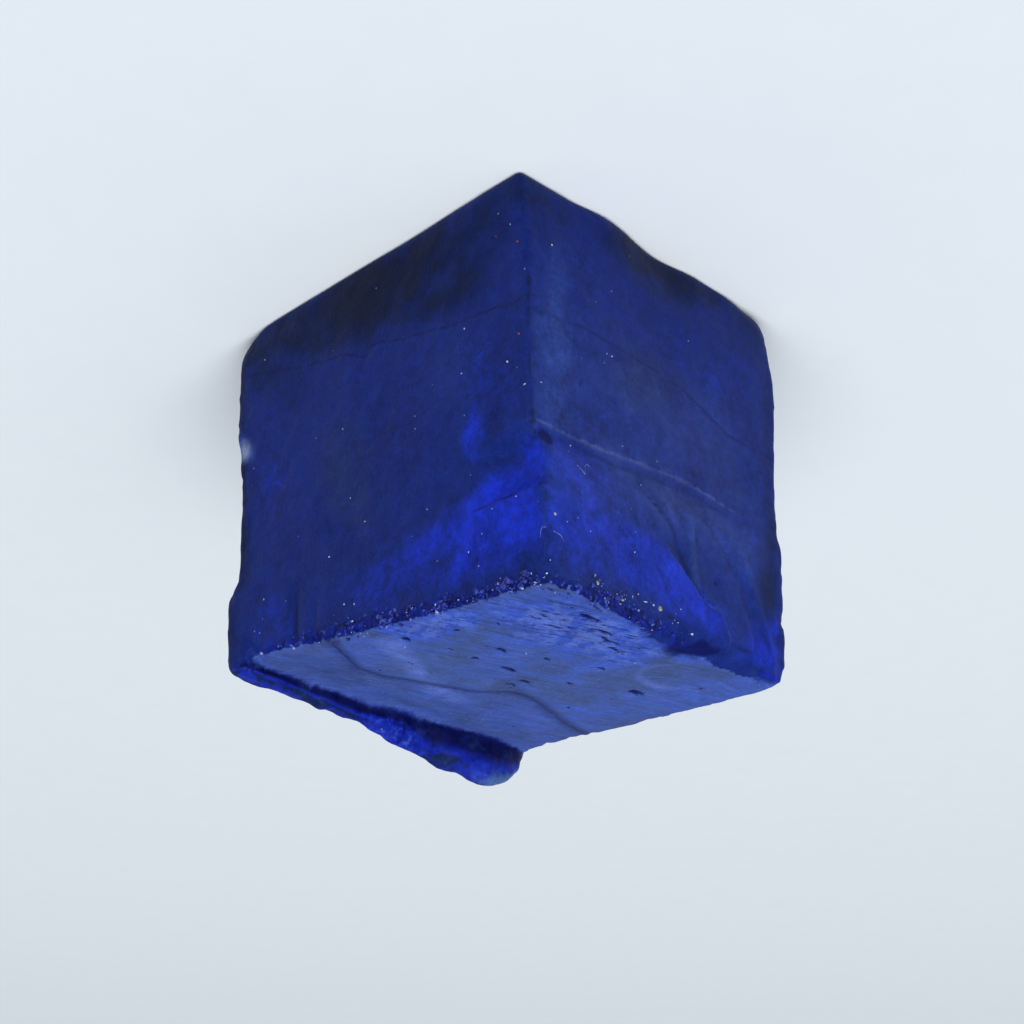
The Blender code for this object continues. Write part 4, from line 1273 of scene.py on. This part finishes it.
white = grains("white_grains_and_glints", WHITE_GRAINS_AND_GLINTS[:, :3], WHITE_GRAINS_AND_GLINTS[:, 3] * 0.62, 71)
golden = grains("golden_grains", GOLDEN_GRAINS[:, :3], GOLDEN_GRAINS[:, 3] * 0.8, 72)
rusty = grains("rusty_grains", RUSTY_GRAINS[:, :3], RUSTY_GRAINS[:, 3], 73)
places, sizes = edge_crumbs(74, 14, 4)
glints = grains("edge_glints", places, sizes, 75)
places, sizes = edge_crumbs(76, 40, 5)
crumbs = grains("edge_crumbs", places, sizes * 1.5, 77)
long_hair = fibre("long_hair", HAIR_PATH, FIBRE_RADIUS, FIBRE_STANDS)
short_fibre = fibre("short_fibre", FIBRE_PATH, FIBRE_RADIUS, FIBRE_STANDS)
# Each small piece: its finish, two tints, roughness and coat
for obj, name, low, high, roughness, coat in (
    (white, "white_grain_and_glint", (0.12, 0.18, 0.48), (0.55, 0.64, 0.88), 0.3, 0.3),
    (golden, "golden_grain", (0.10, 0.09, 0.06), (0.50, 0.46, 0.30), 0.3, 0.3),
    (rusty, "rusty_grain", (0.07, 0.015, 0.03), (0.18, 0.05, 0.06), 0.5, 0.0),
    (glints, "glinting_crumb", (0.06, 0.10, 0.46), (0.45, 0.55, 0.88), 0.3, 0.3),
    (crumbs, "blue_crumb", (0.004, 0.009, 0.10), (0.014, 0.036, 0.40), 0.5, 0.0),
    (long_hair, "long_hair_finish", (0.10, 0.15, 0.42), (0.30, 0.36, 0.62), 0.5, 0.0),
    (short_fibre, "short_fibre_finish", (0.10, 0.15, 0.42), (0.30, 0.36, 0.62), 0.5, 0.0),
):
    dress(obj, plain_finish(name, colour(*low), colour(*high), roughness, coat))


def add_floor():
    half = 1.5
    corners = [(-half, -half, 0.0), (half, -half, 0.0), (half, half, 0.0), (-half, half, 0.0)]
    mesh = bpy.data.meshes.new("floor")
    mesh.from_pydata(corners, [], [(0, 1, 2, 3)])
    floor = bpy.data.objects.new("floor", mesh)
    bpy.context.scene.collection.objects.link(floor)
    paper = Finish("pale_paper")
    tint = paper.blend(paper.noise(2.2, 2.0), colour(0.785, 0.85, 0.90), colour(0.81, 0.87, 0.92))
    paper.fill(paper.shader.inputs["Base Color"], tint)
    paper.shader.inputs["Roughness"].default_value = 0.8
    paper.shader.inputs["Specular IOR Level"].default_value = 0.1
    dress(floor, paper.material)


def direction(azimuth, elevation):
    """From the stone to a light or the lens: angle round from the front to the right, and angle up."""
    flat = np.cos(elevation)
    return Vector((np.sin(azimuth) * flat, -np.cos(azimuth) * flat, np.sin(elevation)))


def add_light(name, azimuth, elevation, away, size, watts, tint):
    lamp = bpy.data.lights.new(name, "AREA")
    lamp.shape, lamp.size, lamp.energy, lamp.color = "DISK", size, watts, tint
    obj = bpy.data.objects.new(name, lamp)
    back = direction(np.radians(azimuth), np.radians(elevation))
    obj.location = Vector((0.0, 0.0, 0.008)) + back * away
    obj.rotation_euler = back.to_track_quat("Z", "Y").to_euler()
    bpy.context.scene.collection.objects.link(obj)


def add_world():
    world = bpy.data.worlds.new("pale_room")
    world.use_nodes = True
    back = world.node_tree.nodes["Background"]
    back.inputs["Color"].default_value = colour(0.86, 0.93, 1.0)
    back.inputs["Strength"].default_value = 0.25
    bpy.context.scene.world = world


def add_camera():
    """A lens held upside down, as the stone was lit and seen from over its near corner."""
    azimuth, elevation, away, focal = -0.8261096, 0.4670904, 79.236, 1896.96
    back = direction(azimuth, elevation)
    right = Vector((np.cos(azimuth), np.sin(azimuth), 0.0))
    up = back.cross(right)
    aim = Vector((0.0, 0.0, 8.0)) - Vector(ORIGIN)
    lens = bpy.data.cameras.new("camera")
    lens.sensor_width = 36.0
    lens.lens = focal * 36.0 / 1024.0
    lens.shift_x = (512.0 - 512.837) / 1024.0
    lens.shift_y = (498.536 - 512.0) / 1024.0
    lens.clip_start, lens.clip_end = 0.001, 10.0
    camera = bpy.data.objects.new("camera", lens)
    turn = Matrix((-right, -up, back)).transposed()
    camera.matrix_world = Matrix.Translation((aim + back * away) * MM) @ turn.to_4x4()
    bpy.context.scene.collection.objects.link(camera)
    bpy.context.scene.camera = camera


add_floor()
add_world()
add_light("soft_box_above", -50.0, 62.0, 0.90, 0.80, 7.0, (1.0, 0.99, 0.99))
add_light("soft_box_left", -88.0, 38.0, 0.90, 1.20, 1.9, (1.0, 0.99, 0.99))
add_camera()
bpy.context.scene.view_settings.view_transform = "Standard"
bpy.context.scene.view_settings.look = "None"
